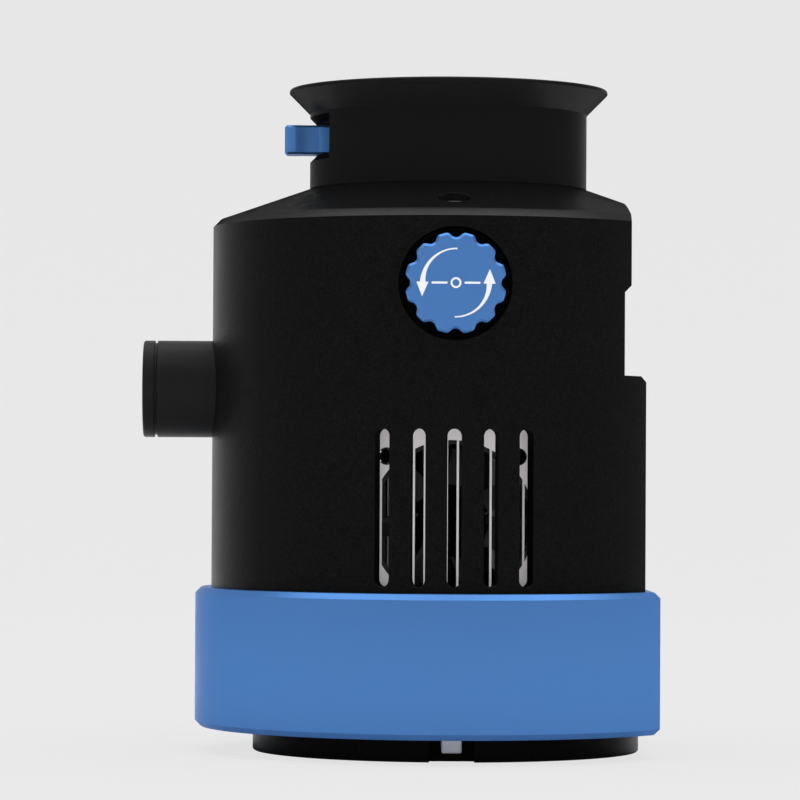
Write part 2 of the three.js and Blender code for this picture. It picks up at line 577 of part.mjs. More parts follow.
function addHeatSink() {
  const { halfWidth, front, back, bottom, plateBottom, plateTop } = SINK;
  let sink = block([-halfWidth, halfWidth], [front, back], [plateBottom, plateTop]);
  const finFront = -FAN.front + FAN.plate + FAN.depth + 1;
  const half = FINS.thickness / 2;
  for (let i = 0; i < FINS.count; i += 1) {
    const x = (i - (FINS.count - 1) / 2) * FINS.pitch;
    sink = sink.add(block([x - half, x + half], [finFront, back], [bottom, plateBottom + 0.5]));
  }
  for (const x of [-COOLER_SCREW, COOLER_SCREW]) {
    sink = sink.subtract(rod(3, 50, plateBottom, SMALL, shifted(x, 0)));
    sink = sink.subtract(rod(1.7, plateBottom - 1, plateTop + 1, SMALL, shifted(x, 0)));
  }
  meshOf('heat_sink', sink, 'aluminium');
  const places = [-COOLER_SCREW, COOLER_SCREW].map((x) => [x, 0, plateBottom - 0.02]);
  addScrews('cooler_screw', places, capScrew(2.5, 2.4, 1.3, 9.5), 'darkSteel');
}

// ---- fan, built with local +Z pointing out of the front and its origin on the fan's axis ----
function fanCorners(z) {
  const { hole } = FAN;
  return [[-hole, -hole, z], [hole, -hole, z], [hole, hole, z], [-hole, hole, z]];
}

function addFanGuard() {
  const back = FAN.front - FAN.plate;
  const span = [GUARD.bottom - FAN.z, GUARD.top - FAN.z - 0.05];
  let plate = block([-GUARD.halfWidth, GUARD.halfWidth], span, [back, FAN.front]);
  const opening = rod(FAN.opening, back - 1, FAN.front + 1);
  const slots = [];
  const gap = GUARD.barPitch - GUARD.bar;
  for (let i = -7; i <= 7; i += 1) {
    const x = i * GUARD.barPitch;
    slots.push(block([x - gap / 2, x + gap / 2], [-20, 20], [back - 1, FAN.front + 1]));
  }
  const lowEdge = block([-30, 30], [span[0] + GUARD.rail, 30], [back - 1, FAN.front + 1]);
  plate = plate.subtract(opening.intersect(joined(slots)).intersect(lowEdge));
  for (const [x, y] of fanCorners(0)) {
    if (y < 0) continue;
    plate = plate.subtract(rod(1.6, back - 1, FAN.front + 1, SMALL, shifted(x, y)));
  }
  meshOf('fan_guard', plate, 'aluminium', fanGroup);
}

function addFan() {
  const front = FAN.front - FAN.plate - GAP;
  const back = front - FAN.depth;
  const half = FAN.size / 2;
  let frame = block([-half, half], [-half, half], [back, front]);
  frame = frame.subtract(rod(14.3, back + 1.2, front + 1));
  const grille = ring(5.5, 14.3, back - 1, back + 2);
  frame = frame.subtract(grille.subtract(block([-20, 20], [-1, 1], [back - 2, front])));
  for (const [x, y] of fanCorners(0)) {
    frame = frame.subtract(rod(1.5, back - 1, front + 1, SMALL, shifted(x, y)));
  }
  meshOf('fan_frame', frame, 'plastic', fanGroup);

  const hub = [back + 1.6, front - 0.6];
  let rotor = rod(6.2, hub[0], hub[1], 24);
  const blade = block([5.5, 13.6], [-0.4, 0.4], [-(hub[1] - hub[0]) / 2 + 0.5, (hub[1] - hub[0]) / 2 - 0.5]);
  const bladeCount = 7;
  for (let i = 0; i < bladeCount; i += 1) {
    const turn = new THREE.Matrix4().makeRotationZ((i * 2 * Math.PI) / bladeCount);
    const pitch = new THREE.Matrix4().makeRotationX(0.6);
    const middle = new THREE.Matrix4().makeTranslation(0, 0, (hub[0] + hub[1]) / 2);
    rotor = rotor.add(moved(blade, middle.multiply(turn).multiply(pitch)));
  }
  meshOf('fan_rotor', rotor, 'plastic', fanGroup);
  const screw = rod(1.25, back + 1, FAN.front - 0.6, SMALL);
  const upper = fanCorners(0).filter(([, y]) => y > 0);
  addScrews('fan_screw', upper, screw, 'darkSteel', false, fanGroup);
}

// ---- electronics ----
function addMainBoard() {
  const low = BOARD_POST.top;
  let board = rod(33, low, low + 1.6).subtract(block([32.2, 40], [-40, 40], [0, 40]));
  board = board.add(block([-7, 7], [-14, 0], [low + 1, low + 3.4]));
  board = board.add(block([-20, -12], [4, 16], [low + 1, low + 2.8]));
  board = board.add(block([8, 22], [6, 10], [low + 1, low + 5.5]));
  board = board.add(rod(3, low + 1, low + 7, SMALL, shifted(18, -12)));
  meshOf('main_board', board, 'board');

  const back = 26;
  const ribbon = new THREE.Shape();
  ribbon.moveTo(back, low + 1.65);
  ribbon.lineTo(back + 0.5, low + 1.65);
  ribbon.lineTo(back + 0.5, 82.5);
  ribbon.lineTo(CHAMBER.radius + 0.1, 82.5);
  ribbon.lineTo(CHAMBER.radius + 0.1, 82);
  ribbon.lineTo(back, 82);
  ribbon.closePath();
  const across = new THREE.Matrix4().makeBasis(
    new THREE.Vector3(0, 1, 0), new THREE.Vector3(0, 0, 1), new THREE.Vector3(1, 0, 0));
  meshOf('sensor_cable', extruded(ribbon, -6, 6, across), 'plastic');
}

function addConnectors() {
  const face = RECESS.x - 0.4;
  const back = face - PANEL.thickness;
  const y = PANEL.y - 0.2;
  const [low, high] = [PANEL.bottom + 0.2, PANEL.top - 0.2];
  const middle = (low + high) / 2;
  const toRight = new THREE.Matrix4().makeRotationY(Math.PI / 2);
  let panel = block([back, face], [-y, y], [low, high]);
  panel = panel.subtract(rod(4.1, 20, 40, 24, shifted(0, POWER_Y, middle, toRight)));
  panel = panel.subtract(block([20, 40], [USB_Y - 4.8, USB_Y + 4.8], [middle - 2, middle + 2]));
  panel = panel.subtract(block([20, 40], [GUIDE_Y - 4.7, GUIDE_Y + 4.7], [middle - 4.7, middle + 4.7]));
  meshOf('connector_panel', panel, 'black');

  const board = SOCKET_BOARD;
  meshOf('connector_board', block(board, [-y, y], [low, high]), 'board');
  const jack = ring(2.9, 3.9, board[1], face, 24, shifted(0, POWER_Y, middle, toRight));
  const jackEnd = rod(3.9, board[1], board[1] + 1.5, 24, shifted(0, POWER_Y, middle, toRight));
  const pin = rod(0.9, board[1], face - 0.6, 10, shifted(0, POWER_Y, middle, toRight));
  meshOf('power_socket', joined([jack, jackEnd, pin]), 'plastic');

  const shell = block([board[1], face], [USB_Y - 4.5, USB_Y + 4.5], [middle - 1.65, middle + 1.65]);
  const hollow = block([board[1] + 1.5, 40], [USB_Y - 4.15, USB_Y + 4.15], [middle - 1.3, middle + 1.3]);
  const tongue = block([board[1], face - 0.8], [USB_Y - 3.3, USB_Y + 3.3], [middle - 0.35, middle + 0.35]);
  meshOf('usb_socket', shell.subtract(hollow).add(tongue), 'steel');

  const outer = block([board[1], face], [GUIDE_Y - 4.4, GUIDE_Y + 4.4], [middle - 4.4, middle + 4.4]);
  const mouth = block([board[1] + 1.5, 40], [GUIDE_Y - 3.5, GUIDE_Y + 3.5], [middle - 2.6, middle + 3.4]);
  const clip = block([board[1] + 1.5, 40], [GUIDE_Y - 1.6, GUIDE_Y + 1.6], [middle - 3.6, middle - 2.5]);
  meshOf('guide_socket', outer.subtract(mouth).subtract(clip), 'plastic');
}

addBaseFlange();
addBaseRing();
addBaseSeal();
addHousing();
addNose();
addFilterDrawer();
addKnob();
addLatch();
addPort();
addChamber();
addSensorStack();
addHeatSink();
addFanGuard();
addFan();
addMainBoard();
addConnectors();

export default camera;
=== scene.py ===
"""Looks for the guide camera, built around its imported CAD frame.

The camera stands on its base flange with its nose up. The release knob is at the front (-Y), the side port
on the left (-X) and the flat side with the sockets on the right (+X). Sizes are in millimetres until a mesh
is made.
"""

import json
import math

import bmesh
import bpy
from mathutils import Matrix, Vector


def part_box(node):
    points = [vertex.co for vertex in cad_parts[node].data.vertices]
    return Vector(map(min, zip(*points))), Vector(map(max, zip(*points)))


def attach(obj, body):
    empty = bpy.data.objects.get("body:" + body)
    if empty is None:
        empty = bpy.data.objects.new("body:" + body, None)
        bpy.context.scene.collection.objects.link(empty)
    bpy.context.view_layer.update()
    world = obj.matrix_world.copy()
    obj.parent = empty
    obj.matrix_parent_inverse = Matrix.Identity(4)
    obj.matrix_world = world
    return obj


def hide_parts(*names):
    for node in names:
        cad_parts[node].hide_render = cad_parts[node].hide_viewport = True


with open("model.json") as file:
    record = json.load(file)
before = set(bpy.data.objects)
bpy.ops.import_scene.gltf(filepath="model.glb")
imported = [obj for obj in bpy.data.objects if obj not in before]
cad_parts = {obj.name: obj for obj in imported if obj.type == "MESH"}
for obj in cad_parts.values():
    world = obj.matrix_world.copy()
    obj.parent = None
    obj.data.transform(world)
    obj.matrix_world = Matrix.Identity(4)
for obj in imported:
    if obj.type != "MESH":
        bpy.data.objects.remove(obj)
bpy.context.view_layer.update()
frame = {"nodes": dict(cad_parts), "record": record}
scene = bpy.context.scene

MM = 0.001
FINE = 240  # points round a large part
ROUND = 128  # points round a bore
MEDIUM = 96  # points round a middle-sized part
SMALL_BORE = 64  # points round a socket's hole
SMALL = 40  # points round a screw


# ---- places from the frame ----
def span(node):
    """Lowest and highest corner of a CAD node, in millimetres."""
    low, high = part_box(node)
    return low / MM, high / MM


FLANGE_HIGH = span("base_flange")[1]
RING_LOW, RING_HIGH = span("base_ring")
HOUSING_HIGH = span("main_housing")[1]
NOSE_HIGH = span("nose_barrel")[1]
TRAY_LOW, TRAY_HIGH = span("filter_tray")
KNOB_LOW, KNOB_HIGH = span("release_knob")
CAP_LOW, CAP_HIGH = span("port_cap")
TUBE_LOW = span("port_tube")[0]
GUARD_LOW, GUARD_HIGH = span("fan_guard")
ROTOR_LOW, ROTOR_HIGH = span("fan_rotor")
PANEL_LOW, PANEL_HIGH = span("connector_panel")
KEY_LOW, KEY_HIGH = span("alignment_key")

HOUSING_R = HOUSING_HIGH.y
SEAT_Z = HOUSING_HIGH.z  # where the nose barrel stands on the shoulder
KNOB_Z = (KNOB_LOW.z + KNOB_HIGH.z) / 2
PORT_Z = (CAP_LOW.z + CAP_HIGH.z) / 2
PORT_R = (CAP_HIGH.z - CAP_LOW.z) / 2
FAN_Z = 43.45

# ---- sizes that a node's box doesn't give ----
CORNERS = (45, 135, 225, 315)  # degrees round the underside
UNDER_SCREWS = {  # radii of the circle, hole and head, height of the seat, length of the head
    "flange_screw": {"circle": 31.5, "hole": 3.0, "seat": 3.1, "head": 2.6, "length": 2.4},
    "body_screw": {"circle": 39.8, "hole": 2.7, "seat": 7.8, "head": 2.35, "length": 2.5},
}
RING_CHAMFER = 1.1
RING_CAVITY = (41.3, 35.05)  # radius, and how far out its flat side stands
RING_BORE, RING_FLOOR = 28, 10.0

INNER_R, INNER_FLAT, INNER_RECESS = 41.25, 32.6, 28.4
INNER_STEP, CEILING = 66.0, 93.3  # heights where the housing's inside narrows and ends
CEILING_POCKET_R, CEILING_POCKET_TOP = 29.3, 97
WALL_TOP = 98.7
EDGE = (43.2, 100.05)  # radius and height where the housing's edge chamfer ends
LOWER_FLAT, LOWER_FLAT_TOP = HOUSING_HIGH.x, 69.3
RECESS_X, RECESS_Z = 31.4, (70.4, 85.6)
UPPER_FLAT, UPPER_FLAT_LOW = 32.7, 86.9
VENT_WIDTH, VENT_Z, VENT_PITCH, VENT_COUNT = 2.64, (31.9, 60.4), 8.5, 5
SCREW_HOLE = (36.3, 2.9, 99.0)  # the shoulder screw's circle, hole radius and floor
SPIGOT = ((41.0, 34.75), (39.0, 32.6))  # outside and inside of the rim that enters the ring: radius and flat
SPIGOT_Z = (25.0, 31.2)
STEM_HOLE_R, PORT_HOLE_R = 2.7, 8.3
BOSS_R, BOSS_DEPTH = 12.0, (37.4, 42.5)  # the thick wall behind the knob
KNOB_RECESS_R, KNOB_RECESS_FLOOR = 10.25, 38.9

NOSE_R, NOSE_BORE, NOSE_SPIGOT = 26.25, 22.6, 24.0
NOSE_LOW, WEB_LOW, WEB_TOP = 93.5, 107.0, 120.0
FLARE_LOW, LIP_LOW = 120.3, 124.3
APERTURE = 9.8
SLOT_HALF, SLOT_Z, SLOT_END, SLOT_MOUTH = 13.2, (112.4, 118.4), 14.2, 1.25  # the drawer's slot
TAB_ROOT, TAB_HALF = -23.9, 3.0
LENS_R, LENS_Z, CELL_TOP = 9.5, (114.2, 115.8), 117.4
TRAY_OPENING = 8.0

CAP_BACK = 55.35  # the inner side of the port cap's rim
SOCKET_BACK, SOCKET_FLOOR = 24.3, 25.8
POWER_Y, USB_Y, GUIDE_Y = -9.8, -0.5, 9.2
SOCKET_Z = (PANEL_LOW.z + PANEL_HIGH.z) / 2

GUARD_PITCH, GUARD_BAR, GUARD_RAIL = 2.0, 0.4, 0.45
FAN_OPENING, FAN_HOLE = 15.0, 12  # radius of the opening, and the screw holes' distance from the fan's axis
PRINT = 0.02  # thickness of the printed marks

TO_FRONT = Matrix.Rotation(math.pi / 2, 4, "X")  # local +Z out of the front, -Y
TO_SIDE = Matrix.Rotation(-math.pi / 2, 4, "Y")  # local +Z out of the port, -X
TO_RIGHT = Matrix.Rotation(math.pi / 2, 4, "Y")  # local +Z out of the flat side, +X

# ---- reaches of the cutters, from clear of a wall to clear of it ----
BELOW, ABOVE = 29.0, 110  # heights under and over the housing
ROUND_WALL = (30, 50)  # distances from the axis, through the round wall
FLAT_WALL = (20, 40)  # and through the flat side


def at(x=0.0, y=0.0, z=0.0, turn=None):
    place = Matrix.Translation((x, y, z))
    return place @ turn if turn else place


# ---- outlines: lists of (x, y) ----
def polar(radius, degrees):
    angle = math.radians(degrees)
    return radius * math.cos(angle), radius * math.sin(angle)


def circle(radius, count=MEDIUM):
    step = 2 * math.pi / count
    return [(radius * math.cos(i * step), radius * math.sin(i * step)) for i in range(count)]


def d_outline(radius, flat, count=FINE, flat_count=24):
    """A circle cut off at x = flat. The same counts always give matching points."""
    corner = 0.0 if flat >= radius else math.acos(flat / radius)
    points = []
    for i in range(count):
        angle = corner + (2 * math.pi - 2 * corner) * i / (count - 1)
        points.append((radius * math.cos(angle), radius * math.sin(angle)))
    low, high = points[-1], points[0]
    for i in range(1, flat_count):
        share = i / flat_count
        points.append((low[0] + (high[0] - low[0]) * share, low[1] + (high[1] - low[1]) * share))
    return points


def offset(points, distance):
    """A closed outline moved outward (or inward, below zero) along its own normals."""
    moved = []
    count = len(points)
    for i, (x, y) in enumerate(points):
        (x0, y0), (x1, y1) = points[i - 1], points[(i + 1) % count]
        tangent = Vector((x1 - x0, y1 - y0)).normalized()
        moved.append((x + tangent.y * distance, y - tangent.x * distance))
    return moved


def rounded(points, steps=5):
    """Corners given as (x, y, radius) become arcs. A radius of 0 leaves the corner sharp."""
    result = []
    count = len(points)
    for i, (x, y, radius) in enumerate(points):
        corner = Vector((x, y))
        if radius <= 0:
            result.append((x, y))
            continue
        before = (Vector(points[i - 1][:2]) - corner).normalized()
        after = (Vector(points[(i + 1) % count][:2]) - corner).normalized()
        half = before.angle(after) / 2
        reach = radius / math.tan(half)
        centre = corner + (before + after).normalized() * radius / math.sin(half)
        start, end = corner + before * reach - centre, corner + after * reach - centre
        turn = start.angle_signed(end)
        for k in range(steps + 1):
            spoke = Matrix.Rotation(-turn * k / steps, 2) @ start
            result.append(tuple(centre + spoke))
    return result


def slot_outline(width, low, high, steps=10):
    """A round-ended slot standing on y from low to high, counter-clockwise."""
    radius = width / 2
    points = []
    for centre, start in ((high - radius, 0.0), (low + radius, math.pi)):
        for k in range(steps + 1):
            angle = start + math.pi * k / steps
            points.append((radius * math.cos(angle), centre + radius * math.sin(angle)))
    return points


# ---- meshes ----
def finish_mesh(name, points, faces, place=None):
    """Makes a piece of points in millimetres, merged, facing outward and moved to its place."""
    mesh = bpy.data.meshes.new(name)
    mesh.from_pydata(points, [], faces)
    work = bmesh.new()
    work.from_mesh(mesh)
    bmesh.ops.remove_doubles(work, verts=work.verts, dist=1e-4)
    bmesh.ops.dissolve_degenerate(work, edges=work.edges, dist=1e-5)
    bmesh.ops.recalc_face_normals(work, faces=work.faces)
    bmesh.ops.transform(work, matrix=Matrix.Scale(MM, 4) @ (place or Matrix()), verts=work.verts)
    work.to_mesh(mesh)
    work.free()
    piece = bpy.data.objects.new(name, mesh)
    scene.collection.objects.link(piece)
    smooth(piece)
    return piece


def smooth(piece, sharp=32):
    """Smooth shading that breaks at edges sharper than an angle in degrees."""
    piece.data.polygons.foreach_set("use_smooth", [True] * len(piece.data.polygons))
    piece.data.set_sharp_from_angle(angle=math.radians(sharp))


def loft(name, levels, place=None, closed=False):
    """Skins matching outlines, each (points, height). closed joins the last to the first, as in a ring."""
    points = [(x, y, z) for outline, z in levels for x, y in outline]
    count = len(levels[0][0])
    faces = []
    pairs = list(zip(range(len(levels)), range(1, len(levels))))
    if closed:
        pairs.append((len(levels) - 1, 0))
    for a, b in pairs:
        for i in range(count):
            j = (i + 1) % count
            faces.append((a * count + i, a * count + j, b * count + j, b * count + i))
    if not closed:
        faces.append(tuple(range(count))[::-1])
        top = (len(levels) - 1) * count
        faces.append(tuple(range(top, top + count)))
    return finish_mesh(name, points, faces, place)


def lathe(name, profile, place=None, count=MEDIUM, closed=False):
    """Turns a profile of (radius, height) about the local Z axis."""
    levels = [(circle(max(radius, 1e-3), count), height) for radius, height in profile]
    return loft(name, levels, place, closed)


def rod(name, radius, low, high, place=None, count=MEDIUM, edge=0.0):
    if edge:
        profile = [(radius - edge, low), (radius, low + edge), (radius, high - edge), (radius - edge, high)]
    else:
        profile = [(radius, low), (radius, high)]
    return lathe(name, profile, place, count)


def prism(name, outline, low, high, place=None, edge=0.0):
    """An outline pushed up from low to high, with its edges broken by edge."""
    if edge:
        small = offset(outline, -edge)
        levels = [(small, low), (outline, low + edge), (outline, high - edge), (small, high)]
    else:
        levels = [(outline, low), (outline, high)]
    return loft(name, levels, place)


def box(name, x, y, z, place=None, edge=0.0):
    outline = [(x[1], y[0]), (x[1], y[1]), (x[0], y[1]), (x[0], y[0])]
    if edge:
        outline = rounded([(u, v, edge * 1.5) for u, v in outline], 3)
    return prism(name, outline, z[0], z[1], place, edge)


def combine(target, others, operation):
    for other in others:
        step = target.modifiers.new("step", "BOOLEAN")
        step.operation = operation
        step.solver = "MANIFOLD"
        step.object = other
    settle(target)
    for other in others:
        bpy.data.objects.remove(other)
    return target


def cut(target, *others):
    return combine(target, others, "DIFFERENCE")


def join(target, *others):
    return combine(target, others, "UNION")


def join_loose(target, *others):
    """Puts separate meshes into one object without cutting them."""
    work = bmesh.new()
    work.from_mesh(target.data)
    for other in others:
        work.from_mesh(other.data)
        bpy.data.objects.remove(other)
    work.to_mesh(target.data)
    work.free()
    smooth(target)
    return target


def settle(piece):
    """Applies the modifiers of a piece."""
    bpy.context.view_layer.update()
    graph = bpy.context.evaluated_depsgraph_get()
    mesh = bpy.data.meshes.new_from_object(piece.evaluated_get(graph))
    piece.modifiers.clear()
    piece.data = mesh
    smooth(piece)


# ---- shader nodes ----
def new_material(name):
    material = bpy.data.materials.new(name)
    material.use_nodes = True
    nodes, links = material.node_tree.nodes, material.node_tree.links
    return material, nodes, links, nodes["Principled BSDF"]


def noise(nodes, links, source, scale, detail=3.0):
    texture = nodes.new("ShaderNodeTexNoise")
    texture.inputs["Scale"].default_value = scale
    texture.inputs["Detail"].default_value = detail
    links.new(source, texture.inputs["Vector"])
    return texture.outputs["Fac"]


def remap(nodes, links, source, low, high, from_low=0.3, from_high=0.7):
    node = nodes.new("ShaderNodeMapRange")
    node.inputs["From Min"].default_value = from_low
    node.inputs["From Max"].default_value = from_high
    node.inputs["To Min"].default_value = low
    node.inputs["To Max"].default_value = high
    links.new(source, node.inputs["Value"])
    return node.outputs["Result"]


def mix(nodes, links, share, first, second):
    """Blends two colours, each a socket or (red, green, blue), by a socket from 0 to 1."""
    node = nodes.new("ShaderNodeMix")
    node.data_type = "RGBA"
    links.new(share, node.inputs["Factor"])
    for socket, value in ((node.inputs[6], first), (node.inputs[7], second)):
        if isinstance(value, tuple):
            socket.default_value = (*value, 1.0)
        else:
            links.new(value, socket)
    return node.outputs[2]


def maths(nodes, links, operation, first, second=None):
    """One sum: first and second are numbers or sockets."""
    step = nodes.new("ShaderNodeMath")
    step.operation = operation
    for index, value in enumerate((first, second)):
        if isinstance(value, (int, float)):
            step.inputs[index].default_value = value
        elif value is not None:
            links.new(value, step.inputs[index])
    return step.outputs["Value"]


def rounded_normal(nodes, radius):
    """The surface's direction, eased over its edges within a radius in millimetres."""
    bevel = nodes.new("ShaderNodeBevel")
    bevel.samples = 4
    bevel.inputs["Radius"].default_value = radius * MM
    return bevel.outputs["Normal"]


def edge_mask(nodes, links, radius):
    """Bright where the surface turns within radius of a sharp edge."""
    geometry = nodes.new("ShaderNodeNewGeometry")
    dot = nodes.new("ShaderNodeVectorMath")
    dot.operation = "DOT_PRODUCT"
    links.new(rounded_normal(nodes, radius), dot.inputs[0])
    links.new(geometry.outputs["Normal"], dot.inputs[1])
    return remap(nodes, links, dot.outputs["Value"], 1.0, 0.0, 0.75, 0.98)


def shine(nodes, links, facing, grazing, top):
    """Specular level that climbs from facing to grazing, as on a matt coat that only shines at its outline.
    With top set, faces that look up or down take that level instead, and it dies away at their outline."""
    weight = nodes.new("ShaderNodeLayerWeight")
    weight.inputs["Blend"].default_value = 0.5
    turn = weight.outputs["Facing"]
    level = remap(nodes, links, maths(nodes, links, "POWER", turn, 3.0), facing, grazing, 0.0, 1.0)
    if not top:
        return level
    straight = maths(nodes, links, "SUBTRACT", 1.0, turn)
    upper = maths(nodes, links, "MULTIPLY", maths(nodes, links, "POWER", straight, 3.0), top)
    surface = nodes.new("ShaderNodeNewGeometry")
    split = nodes.new("ShaderNodeSeparateXYZ")
    links.new(surface.outputs["Normal"], split.inputs["Vector"])
    slope = maths(nodes, links, "ABSOLUTE", split.outputs["Z"])
    share = remap(nodes, links, slope, 0.0, 1.0, 0.3, 0.65)
    wall = maths(nodes, links, "MULTIPLY", level, maths(nodes, links, "SUBTRACT", 1.0, share))
    return maths(nodes, links, "ADD", wall, maths(nodes, links, "MULTIPLY", upper, share))


# ---- materials ----
CLOUD_SCALE = 0.09  # clouds of about 11 mm
PATCH_SCALE = 0.6  # patches of wear of about 2 mm
ROUGH_SPREAD = 0.06  # how much the roughness varies from cloud to cloud
SOFT_EDGE = 0.12  # radius of the highlight along every edge


def grained(name, colour, roughness, specular, grain, mottle, metallic=0.0, wear=None, edge_tint=(1, 1, 1),
            top=None, speckle=None):
    """A solid finish. specular is its level seen square on and seen edge on; grain is (size, strength,
    depth), with size and depth in millimetres; mottle is the colour's variation; wear is (colour, radius,
    share) of the rubbed edges; edge_tint colours the shine of a metal seen edge on; top is the specular level
    of faces that look up or down; speckle darkens the grain's flecks by that share."""
    material, nodes, links, shader = new_material(name)
    coords = nodes.new("ShaderNodeTexCoord")
    scaled = nodes.new("ShaderNodeMapping")
    scaled.inputs["Scale"].default_value = Vector((1, 1, 1)) / MM
    links.new(coords.outputs["Object"], scaled.inputs["Vector"])
    source = scaled.outputs["Vector"]
    size, strength, depth = grain

    cloud = noise(nodes, links, source, CLOUD_SCALE, 4.0)
    fleck = noise(nodes, links, source, 1.0 / size, 2.0)
    dark = tuple(c * (1 - mottle) for c in colour)
    light = tuple(min(1.0, c * (1 + mottle)) for c in colour)
    deeper = tuple(c * (1 - (speckle or 2 * mottle)) for c in colour)
    fleck_share = 1.0 if speckle else 0.35
    tint = mix(nodes, links, remap(nodes, links, cloud, 0.0, 1.0), dark, light)
    tint = mix(nodes, links, remap(nodes, links, fleck, 0.0, fleck_share, 0.35, 0.65), tint, deeper)
    if wear:
        worn, radius, share = wear
        patches = remap(nodes, links, noise(nodes, links, source, PATCH_SCALE), 0.0, share, 0.42, 0.62)
        rubbed = maths(nodes, links, "MULTIPLY", edge_mask(nodes, links, radius), patches)
        tint = mix(nodes, links, rubbed, tint, worn)
    rough = remap(nodes, links, cloud, roughness - ROUGH_SPREAD / 2, roughness + ROUGH_SPREAD / 2)

    bump = nodes.new("ShaderNodeBump")
    bump.inputs["Strength"].default_value = strength
    bump.inputs["Distance"].default_value = depth * MM
    links.new(fleck, bump.inputs["Height"])
    links.new(rounded_normal(nodes, SOFT_EDGE), bump.inputs["Normal"])

    links.new(tint, shader.inputs["Base Color"])
    links.new(rough, shader.inputs["Roughness"])
    links.new(bump.outputs["Normal"], shader.inputs["Normal"])
    links.new(shine(nodes, links, *specular, top), shader.inputs["Specular IOR Level"])
    shader.inputs["Metallic"].default_value = metallic
    shader.inputs["Specular Tint"].default_value = (*edge_tint, 1)
    return material


def glassy(name):
    """Clear glass with a violet coating and faint smears."""
    material, nodes, links, shader = new_material(name)
    shader.inputs["Base Color"].default_value = (0.86, 0.95, 0.97, 1)
    shader.inputs["Transmission Weight"].default_value = 1.0
    shader.inputs["IOR"].default_value = 1.45
    shader.inputs["Coat Weight"].default_value = 0.6
    shader.inputs["Coat Tint"].default_value = (0.55, 0.4, 0.85, 1)
    coords = nodes.new("ShaderNodeTexCoord")
    smear = noise(nodes, links, coords.outputs["Object"], 60.0)
    links.new(remap(nodes, links, smear, 0.02, 0.07), shader.inputs["Roughness"])
    return material


BLUE = (0.070, 0.190, 0.462)
FINISHES = {
    # the record's material slots
    "blue_anodised": dict(colour=BLUE, roughness=0.36, specular=(0.05, 0.3), grain=(0.35, 0.1, 0.01),
                          mottle=0.02, metallic=0.75, wear=((0.16, 0.34, 0.68), 0.3, 0.3),
                          edge_tint=(0.45, 0.55, 0.75)),
    "black_housing": dict(colour=(0.0078,) * 3, roughness=0.34, specular=(0.01, 0.08),
                          grain=(0.35, 0.8, 0.08), mottle=0.03, wear=((0.03,) * 3, 0.3, 0.2),
                          top=0.5, speckle=0.5),
    "black_satin": dict(colour=(0.0094,) * 3, roughness=0.35, specular=(0.005, 0.008), grain=(0.3, 0.3, 0.02),
                        mottle=0.04, wear=((0.03,) * 3, 0.25, 0.4), top=0.3),
    "steel": dict(colour=(0.56, 0.56, 0.58), roughness=0.3, specular=(0.5, 0.5), grain=(0.3, 0.1, 0.01),
                  mottle=0.05, metallic=1.0),
    "dark_steel": dict(colour=(0.03, 0.03, 0.032), roughness=0.42, specular=(0.3, 0.5),
                       grain=(0.2, 0.15, 0.01), mottle=0.1, metallic=0.6, wear=((0.12,) * 3, 0.2, 0.6)),
    "bare_aluminium": dict(colour=(0.66, 0.63, 0.645), roughness=0.5, specular=(0.3, 0.5),
                           grain=(0.2, 0.25, 0.02), mottle=0.05, metallic=0.35),
    "plastic": dict(colour=(0.012, 0.012, 0.013), roughness=0.55, specular=(0.25, 0.5),
                    grain=(0.4, 0.2, 0.02), mottle=0.1),
    "rubber": dict(colour=(0.01,) * 3, roughness=0.85, specular=(0.15, 0.5), grain=(0.3, 0.3, 0.03),
                   mottle=0.1),
    "circuit_board": dict(colour=(0.02, 0.1, 0.035), roughness=0.4, specular=(0.4, 0.6),
                          grain=(1.2, 0.1, 0.02), mottle=0.25),
    "copper": dict(colour=(0.72, 0.33, 0.17), roughness=0.35, specular=(0.5, 0.5), grain=(0.4, 0.1, 0.01),
                   mottle=0.08, metallic=1.0),
    "ceramic": dict(colour=(0.75, 0.74, 0.7), roughness=0.55, specular=(0.3, 0.5), grain=(0.3, 0.15, 0.02),
                    mottle=0.04),
    "silica": dict(colour=(0.6, 0.52, 0.36), roughness=0.8, specular=(0.2, 0.4), grain=(0.8, 0.6, 0.2),
                   mottle=0.25),
    # second looks of single pieces or faces, some of them painted shade
    # near black of black parts, and painted shade on the vent walls and the mouth of the drawer's slot
    "black_and_painted_shade": dict(colour=(0.0015,) * 3, roughness=0.6, specular=(0.0, 0.02), grain=(0.3, 0.2, 0.01),
                       mottle=0.1),
    # painted shade: the blue darkened for the hollows of the drawer's tab
    "painted_shade_blue": dict(colour=tuple(c * 0.76 for c in BLUE), roughness=0.4, specular=(0.05, 0.3),
                      grain=(0.35, 0.1, 0.01), mottle=0.02, metallic=0.75),
    "key_pale": dict(colour=(1.0, 0.96, 0.94), roughness=0.5, specular=(0.3, 0.5), grain=(0.2, 0.2, 0.02),
                     mottle=0.04),
    "port_black": dict(colour=(0.0115, 0.0115, 0.0118), roughness=0.4, specular=(0.05, 0.07),
                       grain=(0.3, 0.2, 0.01), mottle=0.08),
    "blade_grey": dict(colour=(0.035, 0.035, 0.036), roughness=0.5, specular=(0.2, 0.4),
                       grain=(0.4, 0.1, 0.01), mottle=0.08),
    "white_print": dict(colour=(0.86, 0.87, 0.9), roughness=0.55, specular=(0.1, 0.4), grain=(0.3, 0.1, 0.01),
                        mottle=0.03),
}
LOOKS = {name: grained(name, **finish) for name, finish in FINISHES.items()}
LOOKS["clear_glass"] = glassy("clear_glass")

SLOT_OF = {row["node"]: row["material_slot"] for row in frame["record"]["subparts"]}
BODY_OF = {node: body for body, members in frame["record"]["behaviour"]["bodies"].items() for node in members}


def stand_for(piece, node, look=None):
    """The finished piece takes the node's body and slot, and the slot's look unless another is named."""
    piece.data.materials.clear()
    piece.data.materials.append(LOOKS[look or SLOT_OF[node]])
    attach(piece, BODY_OF[node])
    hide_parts(node)
    return piece


